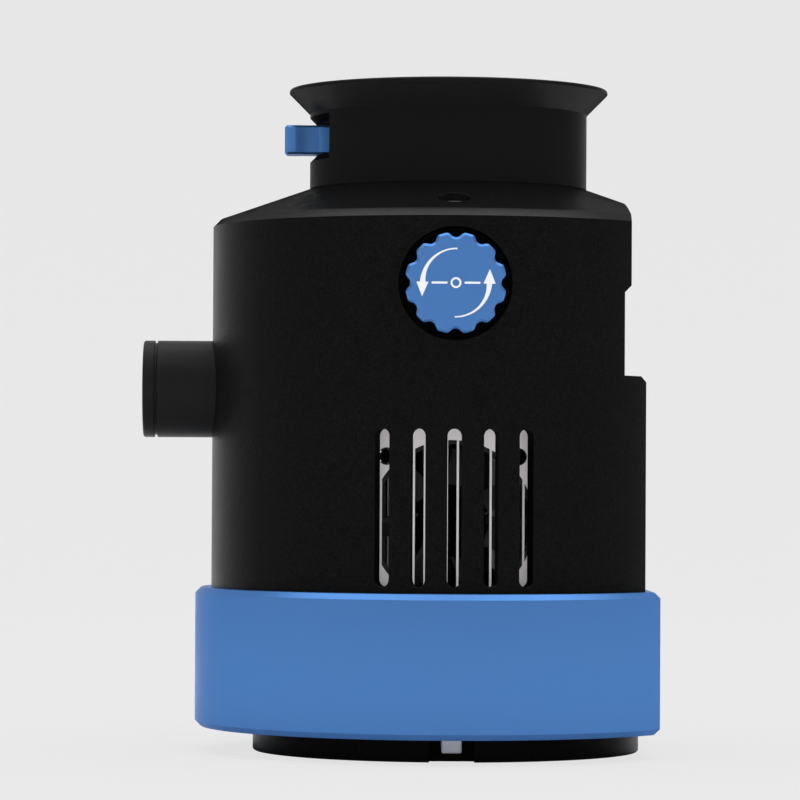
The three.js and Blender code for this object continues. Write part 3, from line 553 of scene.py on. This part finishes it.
def repaint(piece, look, chosen):
    """Gives the faces whose middle is chosen a second look."""
    piece.data.materials.append(LOOKS[look])
    for face in piece.data.polygons:
        if chosen(face.center / MM):
            face.material_index = len(piece.data.materials) - 1


# ---- base ----
def socket_screw(name, radius, length, place):
    """A cap screw's head with a hexagon socket, standing on local z = 0, facing +Z."""
    edge = 0.18 * radius
    head = lathe(name, [(radius, 0), (radius, length - edge), (radius - edge * 0.7, length)], place, SMALL)
    socket = rod("socket", radius * 0.52, length * 0.35, length + 1, place, 6)
    return cut(head, socket)


def screw_holes(kind, low):
    """Cutters for the four bevelled screw holes in an underside at height low."""
    row = UNDER_SCREWS[kind]
    radius = row["hole"]
    bevel = [(radius + 0.4, low - 0.4), (radius, low + 0.25)]
    cutters = []
    for angle in CORNERS:
        place = at(*polar(row["circle"], angle))
        cutters.append(rod("hole", radius, low - 1, row["seat"], place, SMALL))
        cutters.append(lathe("sink", bevel, place, SMALL))
    return cutters


def base_flange():
    radius, top = FLANGE_HIGH.y, FLANGE_HIGH.z
    inner, outer, depth, slope = 22.0, 24.0, 0.5, 0.3  # a shallow groove in the underside
    fillet, chamfer = 0.5, 0.25
    profile = rounded([
        (0, 0, 0), (inner, 0, 0), (inner + slope, depth, 0), (outer - slope, depth, 0), (outer, 0, 0),
        (radius, 0, fillet), (radius, top - chamfer, 0), (radius - chamfer, top, 0), (0, top, 0)])
    body = lathe("flange_body", profile, count=FINE)
    half, corner = 4.12, 0.6
    front, back = -radius - 3, KEY_HIGH.y
    pocket = rounded([(-half, front, 0), (half, front, 0), (half, back, corner), (-half, back, corner)], 4)
    cut(body, prism("pocket", pocket, -1, top + 1), *screw_holes("flange_screw", 0))
    stand_for(body, "base_flange")


def alignment_key():
    """The pale block in the flange's pocket. It reaches a little into the pocket's back wall."""
    back = KEY_HIGH.y + 0.4
    key = box("key", (KEY_LOW.x, KEY_HIGH.x), (KEY_LOW.y, back), (KEY_LOW.z, KEY_HIGH.z), edge=0.25)
    stand_for(key, "alignment_key", "key_pale")


def base_ring():
    radius, flat = RING_HIGH.y, RING_HIGH.x
    low, top = RING_LOW.z, RING_HIGH.z
    soft = 0.12  # how far the chamfer's own edges are eased
    eased = soft * 0.3

    def level(inset, z):
        return d_outline(radius - inset, flat - inset), z

    cavity = d_outline(*RING_CAVITY)
    bore = [(x * RING_BORE / math.hypot(x, y), y * RING_BORE / math.hypot(x, y)) for x, y in cavity]
    body = loft("ring_body", [
        (bore, low), level(RING_CHAMFER + soft, low), level(RING_CHAMFER - eased, low + eased),
        level(eased, low + RING_CHAMFER - eased), level(0, low + RING_CHAMFER + soft),
        level(0, top - RING_CHAMFER - soft), level(eased, top - RING_CHAMFER + eased),
        level(RING_CHAMFER - eased, top - eased), level(RING_CHAMFER + soft, top),
        (cavity, top), (cavity, RING_FLOOR), (bore, RING_FLOOR),
    ], closed=True)
    stand_for(cut(body, *screw_holes("body_screw", low)), "base_ring")


def underside_screws():
    flip = Matrix.Rotation(math.pi, 4, "X")
    for kind, row in UNDER_SCREWS.items():
        for index, angle in enumerate(CORNERS):
            x, y = polar(row["circle"], angle)
            place = at(x, y, row["seat"], flip)
            head = socket_screw(f"{kind}_head_{index + 1}", row["head"], row["length"], place)
            stand_for(head, f"{kind}_{index + 1}")


# ---- housing ----
def housing_flat(z):
    """How far out the flat side stands at a height."""
    low, high = RECESS_Z
    if z <= LOWER_FLAT_TOP:
        return LOWER_FLAT
    if z < low:
        return LOWER_FLAT - (z - LOWER_FLAT_TOP)
    if z <= high:
        return RECESS_X
    if z < UPPER_FLAT_LOW:
        share = (z - high) / (UPPER_FLAT_LOW - high)
        return RECESS_X + share * (UPPER_FLAT - RECESS_X)
    return UPPER_FLAT


def shell_radius(z):
    if z <= WALL_TOP:
        return HOUSING_R
    if z <= EDGE[1]:
        share = (z - WALL_TOP) / (EDGE[1] - WALL_TOP)
        return HOUSING_R + share * (EDGE[0] - HOUSING_R)
    share = (z - EDGE[1]) / (SEAT_Z - EDGE[1])
    return EDGE[0] + share * (NOSE_R - EDGE[0])


def housing_body():
    """The solid outside of the housing: a D-shaped wall with the recess in its flat side, and the cone."""
    lower = [RING_HIGH.z, 50.0, LOWER_FLAT_TOP, RECESS_Z[0] - 0.05]
    upper = [RECESS_Z[1], UPPER_FLAT_LOW, 92.0, WALL_TOP, EDGE[1]]
    cone_steps = 24
    upper += [EDGE[1] + (SEAT_Z - EDGE[1]) * k / cone_steps for k in range(1, cone_steps + 1)]
    levels = [(d_outline(shell_radius(z), housing_flat(z)), z) for z in lower]
    levels.append((d_outline(HOUSING_R, RECESS_X), RECESS_Z[0]))
    levels += [(d_outline(shell_radius(z), housing_flat(z)), z) for z in upper]
    return loft("housing_body", levels)


def shoulder_cutters():
    """The shoulder screw's counterbore and the small bevel round its sloping rim."""
    circle_r, hole_r, floor = SCREW_HOLE
    slope = (SEAT_Z - EDGE[1]) / (EDGE[0] - NOSE_R)
    rim_z = EDGE[1] + (EDGE[0] - circle_r) * slope
    tilt = Matrix.Rotation(math.atan(slope), 4, "X")
    hole = rod("screw_hole", hole_r, floor, ABOVE, at(0, -circle_r), SMALL)
    bevel = [(hole_r + 0.02, -0.25), (hole_r + 0.6, 0.4)]
    return hole, lathe("screw_sink", bevel, at(0, -circle_r, rim_z, tilt), SMALL)


def panel_cutter():
    """The window in the recess that the connector panel fills."""
    gap = 0.2
    half = PANEL_HIGH.y + gap
    return box("panel_hole", FLAT_WALL, (-half, half), (PANEL_LOW.z - gap, PANEL_HIGH.z + gap))


def vent_cutter(angle):
    """A slot through the wall, with its outer edge broken."""
    turn = Matrix.Rotation(math.radians(angle), 4, "Z") @ TO_FRONT
    slot = slot_outline(VENT_WIDTH, *VENT_Z)
    bevel, past = 0.06, 0.5
    wide = offset(slot, bevel + past)
    return loft("vent", [(slot, 36.0), (slot, HOUSING_R - bevel), (wide, HOUSING_R + past)], turn)


def in_vent(middle):
    """True on the walls of the vent slots, at the front and at the back. These walls are painted near black
    as shade.
    """
    radius = math.hypot(middle.x, middle.y)
    in_rows = abs(middle.y) > 38 and VENT_Z[0] - 0.1 < middle.z < VENT_Z[1] + 0.1
    return in_rows and INNER_R + 0.05 < radius < HOUSING_R - 0.03


def housing():
    body = housing_body()
    front = at(0, 0, KNOB_Z, TO_FRONT)
    wide, narrow = d_outline(INNER_R, INNER_FLAT), d_outline(INNER_R, INNER_RECESS)
    cavity = loft("cavity", [(wide, BELOW), (wide, INNER_STEP), (narrow, INNER_STEP), (narrow, CEILING)])
    cut(body, cavity, rod("pocket", CEILING_POCKET_R, CEILING - 1, CEILING_POCKET_TOP, None, ROUND))
    join(body, rod("boss", BOSS_R, *BOSS_DEPTH, front))

    recess = rod("recess", KNOB_RECESS_R, KNOB_RECESS_FLOOR, HOUSING_R + 2, front, ROUND)
    stem_hole = rod("stem_hole", STEM_HOLE_R, *ROUND_WALL, front)
    bore = rod("bore", NOSE_SPIGOT + 0.3, CEILING - 5, ABOVE, None, ROUND)
    port_hole = rod("port_hole", PORT_HOLE_R, *ROUND_WALL, at(0, 0, PORT_Z, TO_SIDE))
    vents = [vent_cutter(side + (i - (VENT_COUNT - 1) / 2) * VENT_PITCH)
             for side in (0, 180) for i in range(VENT_COUNT)]
    cut(body, recess, stem_hole, *shoulder_cutters(), bore, port_hole, panel_cutter(), *vents)

    outer, inner = (d_outline(*size) for size in SPIGOT)
    low, high = SPIGOT_Z
    join(body, loft("spigot", [(outer, low), (outer, high), (inner, high), (inner, low)], closed=True))
    stand_for(body, "main_housing")
    # painted shade: the vent walls take the near-black look
    repaint(body, "black_and_painted_shade", in_vent)


def shoulder_screw():
    circle_r, _, floor = SCREW_HOLE
    head = socket_screw("shoulder_screw", 2.6, 2.6, at(0, -circle_r, floor + 0.02))
    stand_for(head, "latch_screw_1")


# ---- nose ----
def wedge(name, side, reach, count=40):
    """A chamfer along both long edges of the drawer slot, following the barrel's round surface."""
    past = 1.0
    inner, outer = NOSE_R - reach, NOSE_R + past
    root = inner - 4
    low, high = SLOT_Z
    section = [(root, low), (inner, low), (outer, low - reach - past),
               (outer, high + reach + past), (inner, high), (root, high)]
    points, faces = [], []
    for i in range(count + 1):
        angle = math.radians(180 - side + 2 * side * i / count)
        points += [(r * math.cos(angle), r * math.sin(angle), z) for r, z in section]
    size = len(section)
    for i in range(count):
        for k in range(size):
            m = (k + 1) % size
            faces.append((i * size + k, i * size + m, (i + 1) * size + m, (i + 1) * size + k))
    faces.append(tuple(range(size)))
    faces.append(tuple(range(count * size, (count + 1) * size))[::-1])
    return finish_mesh(name, points, faces)


def in_mouth(middle):
    """True on the chamfered mouth of the drawer's slot, which is painted near black as shade."""
    radius = math.hypot(middle.x, middle.y)
    return 24.5 < radius < NOSE_R - 0.03 and SLOT_Z[0] - 1.4 < middle.z < SLOT_Z[1] + 1.4


def nose():
    top, lip_r = NOSE_HIGH.z, NOSE_HIGH.y
    wall = 1.3
    mouth_r, funnel_r = lip_r - wall, NOSE_R - wall - 0.6
    profile = rounded([
        (NOSE_BORE, NOSE_LOW, 0), (NOSE_SPIGOT, NOSE_LOW, 0), (NOSE_SPIGOT, SEAT_Z, 0),
        (NOSE_R - 0.1, SEAT_Z, 0), (NOSE_R, SEAT_Z + 0.15, 0),
        (NOSE_R, FLARE_LOW, 0.15), (lip_r, LIP_LOW, 0.25), (lip_r, top, 0.45),
        (mouth_r, top, 0.3), (mouth_r - 0.25, LIP_LOW - 0.1, 0.3), (funnel_r, FLARE_LOW, 0.3),
        (funnel_r, WEB_TOP, 0), (APERTURE + 0.6, WEB_TOP, 0.2), (APERTURE, WEB_TOP - 0.6, 0.1),
        (APERTURE, WEB_LOW, 0), (NOSE_BORE, WEB_LOW, 0)], 4)
    barrel = lathe("barrel", profile, count=FINE, closed=True)
    outside = -40
    slot = box("slot", (outside, SLOT_END), (-SLOT_HALF, SLOT_HALF), SLOT_Z)
    side = math.degrees(math.asin(SLOT_HALF / NOSE_R))
    cut(barrel, slot, wedge("mouth", side, SLOT_MOUTH))
    stand_for(barrel, "nose_barrel")
    # painted shade: the slot's chamfered mouth takes the near-black look
    repaint(barrel, "black_and_painted_shade", in_mouth)


def tab_outline(front, root, half, scoop, corner=1.1, steps=16):
    """A finger tab seen from above, with a shallow scoop in both sides."""
    grip = (root - 0.4, front + 1.7)
    side = [(root + 4, half), (root, half)]
    for k in range(steps + 1):
        share = k / steps
        x = grip[0] + (grip[1] - grip[0]) * share
        side.append((x, half - scoop * math.sin(math.pi * share) ** 1.5))
    for k in range(1, 8):
        angle = math.pi / 2 * (1 + k / 7)
        side.append((front + corner + corner * math.cos(angle), half - corner + corner * math.sin(angle)))
    return side + [(x, -y) for x, y in reversed(side)]


def in_scoop(middle):
    """True on the hollows in the sides of the drawer's tab, which are painted a darker blue as shade."""
    in_length = TRAY_LOW.x + 1.6 < middle.x < TAB_ROOT - 0.3
    in_height = TRAY_LOW.z + 0.4 < middle.z < TRAY_HIGH.z - 0.4
    return in_length and in_height and TAB_HALF - 1 < abs(middle.y) < TAB_HALF - 0.03


def filter_drawer():
    low, high = TRAY_LOW.z, TRAY_HIGH.z
    end, half = TRAY_HIGH.x, TRAY_HIGH.y
    front, front_corner, end_corner = -19.6, 3.0, 0.5  # the wide part of the drawer
    tab, scoop = (TRAY_LOW.x, TAB_ROOT, TAB_HALF), 0.35
    body = rounded([(end, -half, end_corner), (end, half, end_corner),
                    (front, half, front_corner), (front, -half, front_corner)], 8)
    tray = prism("tray", body, low, high, edge=0.3)
    join(tray, prism("tab", tab_outline(*tab, scoop), low, high, edge=0.38))
    above = high + 5
    cut(tray, rod("opening", TRAY_OPENING, low - 5, above), rod("seat", LENS_R + 0.2, LENS_Z[0], above))
    stand_for(tray, "filter_tray")
    # painted shade: the tab's hollows take a darker copy of the blue
    repaint(tray, "painted_shade_blue", in_scoop)


def filter_cell():
    """The filter and the ring that holds it down, with a slot across it for a key."""
    inner, outer, low = TRAY_OPENING, 9.6, LENS_Z[1]
    half, depth = 0.5, 0.5  # of the key slot
    ring = lathe("filter_cell", rounded([(inner, low, 0.1), (outer, low, 0), (outer, CELL_TOP, 0.2),
                                         (inner, CELL_TOP, 0.3)]), closed=True)
    cut(ring, box("grip", (-12, 12), (-half, half), (CELL_TOP - depth, CELL_TOP + 1)))
    stand_for(ring, "filter_ring")
    stand_for(rod("filter_lens", LENS_R, *LENS_Z, edge=0.15), "filter_glass")


# ---- knob ----
def knob_outline(radius, depth, lobes=12, per_lobe=40):
    """Broad lobes parted by narrow round valleys, one of them at the top."""
    reach = radius + 0.35  # how far out the round cutter of a valley stands
    cutter = reach - radius + depth

    def edge_at(phase):
        side = math.pi / lobes * (1 - abs(2 * phase - 1))
        across = reach * math.sin(side)
        if across >= cutter:
            return radius
        return min(radius, reach * math.cos(side) - math.sqrt(cutter ** 2 - across ** 2))

    points = []
    blur = range(-3, 4)
    for i in range(lobes * per_lobe):
        angle = 2 * math.pi * i / (lobes * per_lobe)
        r = sum(edge_at(((i + k) % per_lobe) / per_lobe) for k in blur) / len(blur)
        points.append((r * math.sin(angle), r * math.cos(angle)))
    return points[::-1]


def knob():
    place = at(0, 0, KNOB_Z, TO_FRONT)
    face, back = -KNOB_LOW.y, -KNOB_HIGH.y
    outline = knob_outline(9.11, 0.96)
    edge, cup_r, web = 0.42, 5.6, 1.2
    small = offset(outline, -edge)
    top = face - PRINT
    levels = [(small, back), (outline, back + edge), (outline, top - edge), (small, top)]
    body = loft("knob_body", levels, place)
    cut(body, rod("cup", cup_r, back - 1, face - web, place))
    stand_for(body, "release_knob")
    print_on_knob(curved_arrow("arrow_left", face, place))
    print_on_knob(curved_arrow("arrow_right", face, place @ Matrix.Rotation(math.pi, 4, "Z")))
    print_on_knob(press_mark(face, place))


def print_on_knob(mark):
    mark.data.materials.append(LOOKS["white_print"])
    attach(mark, "knob")


def curved_arrow(name, face, place, steps=40):
    """A tapering arc from 12 o'clock round to 9 o'clock, ending in an arrowhead that points down."""
    start, end = math.radians(88), math.radians(178.5)
    thin, thick, taper = 0.27, 1.0, 2.1
    start_r, closing = 6.12, 0.15  # the arc draws in a little on its way
    outer, inner = [], []
    for k in range(steps + 1):
        share = k / steps
        angle = start + (end - start) * share
        half = (thin + (thick - thin) * share ** taper) / 2
        arc_r = start_r - closing * share
        outer.append(((arc_r + half) * math.cos(angle), (arc_r + half) * math.sin(angle)))
        inner.append(((arc_r - half) * math.cos(angle), (arc_r - half) * math.sin(angle)))
    end_r = start_r - closing
    x, y = end_r * math.cos(end), end_r * math.sin(end)
    head = [(x - 1.13, y), (x - 0.1, y - 2.65), (x + 1.05, y)]
    return prism(name, outer + head + inner[::-1], face - PRINT, face, place)


def press_mark(face, place):
    """A plain ring between two bars: a generic sign for a push button."""
    low = face - PRINT
    ring_inner, ring_outer = 0.62, 0.98
    bar_x, long, wide, corner = 2.95, 1.45, 0.2, 0.19  # a bar's place, half length, half width and corners
    ring = lathe("press_mark", [(ring_inner, low), (ring_outer, low), (ring_outer, face), (ring_inner, face)],
                 place, SMALL_BORE, closed=True)
    bars = []
    for x in (-bar_x, bar_x):
        outline = rounded([(x + long, -wide, corner), (x + long, wide, corner),
                           (x - long, wide, corner), (x - long, -wide, corner)], 6)
        bars.append(prism("bar", outline, low, face, place))
    return join_loose(ring, *bars)


# ---- side port ----
def port_tube():
    """The tube that the cap closes. Its shoulder is cut to sit on the round housing."""
    place = at(0, 0, PORT_Z, TO_SIDE)
    bore, thread_r, edge = 7.3, 8.0, 0.12
    inner_end, shoulder, end = 36.3, 40.9, -TUBE_LOW.x
    tube = lathe("tube", [(bore, inner_end), (thread_r, inner_end), (thread_r, shoulder), (PORT_R, shoulder),
                          (PORT_R, end - edge), (PORT_R - edge, end), (bore, end)], place, ROUND, closed=True)
    shell = rod("shell", HOUSING_R + 0.02, PORT_Z - 20, PORT_Z + 20, None, FINE)
    cut(shell, rod("inner", thread_r + 0.05, ROUND_WALL[0], 60, place))
    stand_for(cut(tube, shell), "port_tube", "port_black")


def port_cap():
    """A plug with a rim as wide as the tube, a neck between them and a coin slot."""
    place = at(0, 0, PORT_Z, TO_SIDE)
    end, plug_r, plug_low = -CAP_LOW.x, 7.0, 50.5
    neck_r, neck_low = PORT_R - 0.45, 0.05 - TUBE_LOW.x
    cap = lathe("cap", rounded([
        (0, plug_low, 0), (plug_r, plug_low, 0.3), (plug_r, neck_low, 0), (neck_r, neck_low, 0),
        (neck_r, CAP_BACK, 0), (PORT_R, CAP_BACK, 0.1), (PORT_R, end, 0.45), (0, end, 0)]), place, ROUND)
    half_width, half_length, depth = 0.7, 5.5, 1
    coin_slot = box("coin_slot", (-half_width, half_width), (-half_length, half_length),
                    (end - depth, end + 1), place)
    groove_r, groove_z = 6.1, (53.0, 54.4)  # the seal's groove in the plug
    groove = lathe("groove", [(groove_r, groove_z[0]), (9.0, groove_z[0]), (9.0, groove_z[1]),
                              (groove_r, groove_z[1])], place, closed=True)
    stand_for(cut(cap, coin_slot, groove), "port_cap", "port_black")


# ---- sockets on the flat side ----
def connector_panel():
    low, high = PANEL_LOW, PANEL_HIGH
    panel = box("panel", (-high.z, -low.z), (low.y, high.y), (low.x, high.x), TO_RIGHT, 0.2)
    cuts = [rod("jack_hole", 4.1, *FLAT_WALL, at(0, POWER_Y, SOCKET_Z, TO_RIGHT), SMALL_BORE)]
    for name, y, half_y, half_z in (("usb_hole", USB_Y, 4.8, 2), ("guide_hole", GUIDE_Y, 4.7, 4.7)):
        cuts.append(box(name, FLAT_WALL, (y - half_y, y + half_y), (SOCKET_Z - half_z, SOCKET_Z + half_z)))
    stand_for(cut(panel, *cuts), "connector_panel")


def power_socket():
    face = PANEL_HIGH.x
    place = at(0, POWER_Y, SOCKET_Z, TO_RIGHT)
    inner, outer, pin_r = 2.9, 3.9, 0.9
    jack = lathe("jack", rounded([(inner, SOCKET_FLOOR, 0), (outer, SOCKET_FLOOR, 0), (outer, face, 0.25),
                                  (inner, face, 0.3)]), place, SMALL_BORE, closed=True)
    floor = rod("jack_floor", outer, SOCKET_BACK, SOCKET_FLOOR + 0.1, place, SMALL_BORE)
    tip_r, tip_length, sunk = 0.55, 0.4, 0.6
    pin_profile = [(pin_r, SOCKET_FLOOR - 0.3), (pin_r, face - sunk - tip_length), (tip_r, face - sunk)]
    pin = lathe("jack_pin", pin_profile, place, 32)
    stand_for(join(jack, floor, pin), "power_socket")


def usb_socket():
    face = PANEL_HIGH.x
    place = at(0, USB_Y, SOCKET_Z, TO_RIGHT)
    outside, inside = slot_outline(3.3, -4.5, 4.5), slot_outline(2.6, -4.15, 4.15)
    half_thick, half_wide, sunk = 0.35, 3.3, 0.8
    shell = prism("usb_shell", outside, SOCKET_BACK, face, place)
    cut(shell, prism("usb_hollow", inside, SOCKET_FLOOR, FLAT_WALL[1], place))
    tongue = box("usb_tongue", (-half_thick, half_thick), (-half_wide, half_wide),
                 (SOCKET_FLOOR - sunk, face - sunk), place, 0.1)
    stand_for(join(shell, tongue), "usb_socket")


def guide_socket():
    """A square socket. The plug's clip slides in the narrow notch that joins its mouth."""
    place = at(0, GUIDE_Y, SOCKET_Z, TO_RIGHT)
    square, mouth, notch = (-4.4, 4.4), ((-3.4, 2.6), (-3.5, 3.5)), ((2.5, 3.6), (-1.6, 1.6))
    hollow = (SOCKET_FLOOR, FLAT_WALL[1])
    body = box("guide_body", square, square, (SOCKET_BACK, PANEL_HIGH.x), place, 0.15)
    cut(body, box("mouth", *mouth, hollow, place), box("clip", *notch, hollow, place))
    stand_for(body, "guide_socket")


# ---- fan, seen through the vents ----
def fan_guard():
    """A plate with upright bars across its round opening. The gaps run down to a thin rail."""
    front, back = -GUARD_LOW.y, -GUARD_HIGH.y
    place = at(0, 0, FAN_Z, TO_FRONT)
    low, high = GUARD_LOW.z - FAN_Z, GUARD_HIGH.z - FAN_Z
    through = (back - 1, front + 1)
    plate = box("guard_plate", (-GUARD_HIGH.x, GUARD_HIGH.x), (low, high), (back, front), place, 0.08)
    opening = rod("opening", FAN_OPENING, *through, place, ROUND)
    half = (GUARD_PITCH - GUARD_BAR) / 2
    gaps = [box("gap", (x - half, x + half), (low + GUARD_RAIL, FAN_OPENING + 1), through, place)
            for x in (i * GUARD_PITCH for i in range(-7, 8))]
    combine(opening, [join_loose(*gaps)], "INTERSECT")
    holes = [rod("hole", 1.6, *through, place @ at(x, FAN_HOLE), SMALL) for x in (-FAN_HOLE, FAN_HOLE)]
    stand_for(cut(plate, opening, *holes), "fan_guard")


def fan_screw(node):
    """A cross-head screw in one of the guard's holes."""
    low, high = span(node)
    place = at((low.x + high.x) / 2, 0, (low.z + high.z) / 2, TO_FRONT)
    front, radius = -low.y, 1.19
    screw = lathe("fan_screw", [(radius, -high.y), (radius, front - 0.35), (0.9, front)], place, SMALL)
    long, wide = (-0.8, 0.8), (-0.15, 0.15)
    drive = [box("drive", u, v, (front - 0.5, 50), place) for u, v in ((wide, long), (long, wide))]
    stand_for(cut(screw, *drive), node, "black_and_painted_shade")


def fan_blade(turn, back, front, place, steps=8):
    """A thin blade, twisted from root to tip."""
    root, length, root_pitch, untwist = 5.8, 7.6, 48, 16
    half, thick = 2.5, 0.35
    section = [(-half, -thick), (half, -thick), (half, thick), (-half, thick)]
    levels = []
    for k in range(steps + 1):
        share = k / steps
        pitch = math.radians(root_pitch - untwist * share)
        turned = [(u * math.cos(pitch) - v * math.sin(pitch), u * math.sin(pitch) + v * math.cos(pitch))
                  for u, v in section]
        levels.append((turned, root + length * share))
    out = place @ Matrix.Rotation(math.radians(turn), 4, "Z") @ at(0, 0, (back + front) / 2, TO_RIGHT)
    return loft("blade", levels, out)


def fan_rotor():
    back, front = -ROTOR_HIGH.y, -ROTOR_LOW.y
    place = at(0, 0, FAN_Z, TO_FRONT)
    hub_r, blade_count, first = 6.2, 7, 82
    profile = rounded([(0, back, 0), (hub_r, back, 0.3), (hub_r, front, 0.8), (0, front, 0)])
    hub = lathe("hub", profile, place, SMALL_BORE)
    join(hub, *[fan_blade(i * 360 / blade_count + first, back, front, place) for i in range(blade_count)])
    stand_for(hub, "fan_rotor", "blade_grey")
    repaint(hub, "black_and_painted_shade", lambda middle: math.hypot(middle.x, middle.z - FAN_Z) < hub_r + 0.1)


# ---- the rest of the CAD keeps its shape and takes its finish ----
def dress_cad():
    for name, node in frame["nodes"].items():
        if not node.hide_render:
            node.data.materials.clear()
            node.data.materials.append(LOOKS[SLOT_OF[name]])
            smooth(node, 40)


# ---- stage, in metres ----
def stage():
    """A pale floor that curves up into a backdrop behind the object."""
    near, reach, rise, top, half = -1.6, 1.1, 0.5, 2.2, 2.5
    outline = [(near, 0.0), (reach, 0.0)]
    steps = 12
    for k in range(1, steps + 1):
        angle = math.pi / 2 * k / steps
        outline.append((reach + rise * math.sin(angle), rise - rise * math.cos(angle)))
    outline.append((reach + rise, top))
    points, faces = [], []
    for y, z in outline:
        points += [(-half, y, z), (half, y, z)]
    for i in range(len(outline) - 1):
        faces.append((2 * i, 2 * i + 1, 2 * i + 3, 2 * i + 2))
    mesh = bpy.data.meshes.new("floor")
    mesh.from_pydata(points, [], faces)
    floor = bpy.data.objects.new("floor", mesh)
    scene.collection.objects.link(floor)
    mesh.polygons.foreach_set("use_smooth", [True] * len(mesh.polygons))
    mesh.materials.append(paper())


def paper():
    """Pale, evenly lit paper with a trace of the object's own shadow, and clear when seen from below."""
    glow_level, glow_share = 0.791, 0.92
    material, nodes, links, shader = new_material("paper")
    shader.inputs["Base Color"].default_value = (0.8, 0.8, 0.8, 1)
    shader.inputs["Roughness"].default_value = 0.9
    shader.inputs["Specular IOR Level"].default_value = 0.0
    glow = nodes.new("ShaderNodeEmission")
    glow.inputs["Color"].default_value = (1, 1, 1, 1)
    glow.inputs["Strength"].default_value = glow_level
    clear = nodes.new("ShaderNodeBsdfTransparent")
    seen = nodes.new("ShaderNodeLightPath").outputs["Is Camera Ray"]
    behind = nodes.new("ShaderNodeNewGeometry").outputs["Backfacing"]
    share = maths(nodes, links, "MULTIPLY", seen, glow_share)
    lit = mix_shaders(nodes, links, share, shader.outputs["BSDF"], glow.outputs["Emission"])
    surface = mix_shaders(nodes, links, behind, lit, clear.outputs["BSDF"])
    links.new(surface, nodes["Material Output"].inputs["Surface"])
    return material


def mix_shaders(nodes, links, share, first, second):
    blend = nodes.new("ShaderNodeMixShader")
    links.new(share, blend.inputs["Fac"])
    links.new(first, blend.inputs[1])
    links.new(second, blend.inputs[2])
    return blend.outputs["Shader"]


# Height of a direction (the sine of its elevation) and how bright the sky is there: both ends, then between.
SKY = ((0.0, 0.95), (0.86, 2.9), (0.25, 0.9), (0.5, 0.35), (0.68, 0.45))
SKY_PEAK = 2.9


def sky():
    """Soft light from all round, brighter from above."""
    world = bpy.data.worlds.new("soft_light")
    scene.world = world
    world.use_nodes = True
    nodes, links = world.node_tree.nodes, world.node_tree.links
    coords = nodes.new("ShaderNodeTexCoord")
    split = nodes.new("ShaderNodeSeparateXYZ")
    links.new(coords.outputs["Generated"], split.inputs["Vector"])
    gradient = nodes.new("ShaderNodeValToRGB")
    ramp = gradient.color_ramp
    ramp.interpolation = "EASE"
    for index, (height, level) in enumerate(SKY):
        stop = ramp.elements[index] if index < 2 else ramp.elements.new(height)
        stop.position = height
        stop.color = (level / SKY_PEAK,) * 3 + (1,)
    links.new(split.outputs["Z"], gradient.inputs["Fac"])
    background = nodes["Background"]
    links.new(gradient.outputs["Color"], background.inputs["Color"])
    background.inputs["Strength"].default_value = SKY_PEAK


def inside_lamp():
    """A faint lamp between the vents and the guard, so that the guard shows. It isn't seen itself."""
    place, target = Vector((0, -0.0385, 0.047)), Vector((0, -0.011, 0.047))
    data = bpy.data.lights.new("inside", "AREA")
    data.energy = 0.0026
    data.size = 0.034
    light = bpy.data.objects.new("inside", data)
    light.location = place
    light.rotation_euler = (target - place).to_track_quat("-Z", "Y").to_euler()
    light.visible_camera = False
    scene.collection.objects.link(light)


CAMERA_DISTANCE, CAMERA_HEIGHT = 0.793, 0.052
YAW, PITCH, PAN, ROLL = 1.88, 1.03, 0.645, 0.305  # degrees
FOCAL, SENSOR = 187.95, 36.0  # millimetres


def camera():
    data = bpy.data.cameras.new("camera")
    data.lens = FOCAL
    data.sensor_width = SENSOR
    eye = bpy.data.objects.new("camera", data)
    scene.collection.objects.link(eye)
    yaw = math.radians(YAW)
    eye.location = (-CAMERA_DISTANCE * math.sin(yaw), -CAMERA_DISTANCE * math.cos(yaw), CAMERA_HEIGHT)
    aim = Matrix.Rotation(-yaw, 4, "Z")
    for degrees, axis in ((PAN, "Z"), (90 + PITCH, "X"), (ROLL, "Z")):
        aim = aim @ Matrix.Rotation(math.radians(degrees), 4, axis)
    eye.rotation_euler = aim.to_euler()
    scene.camera = eye


base_flange()
alignment_key()
base_ring()
underside_screws()
housing()
shoulder_screw()
nose()
filter_drawer()
filter_cell()
knob()
port_tube()
port_cap()
connector_panel()
power_socket()
usb_socket()
guide_socket()
fan_guard()
fan_screw("fan_screw_1")
fan_screw("fan_screw_2")
fan_rotor()
dress_cad()
stage()
sky()
inside_lamp()
camera()
scene.view_settings.view_transform = "Standard"
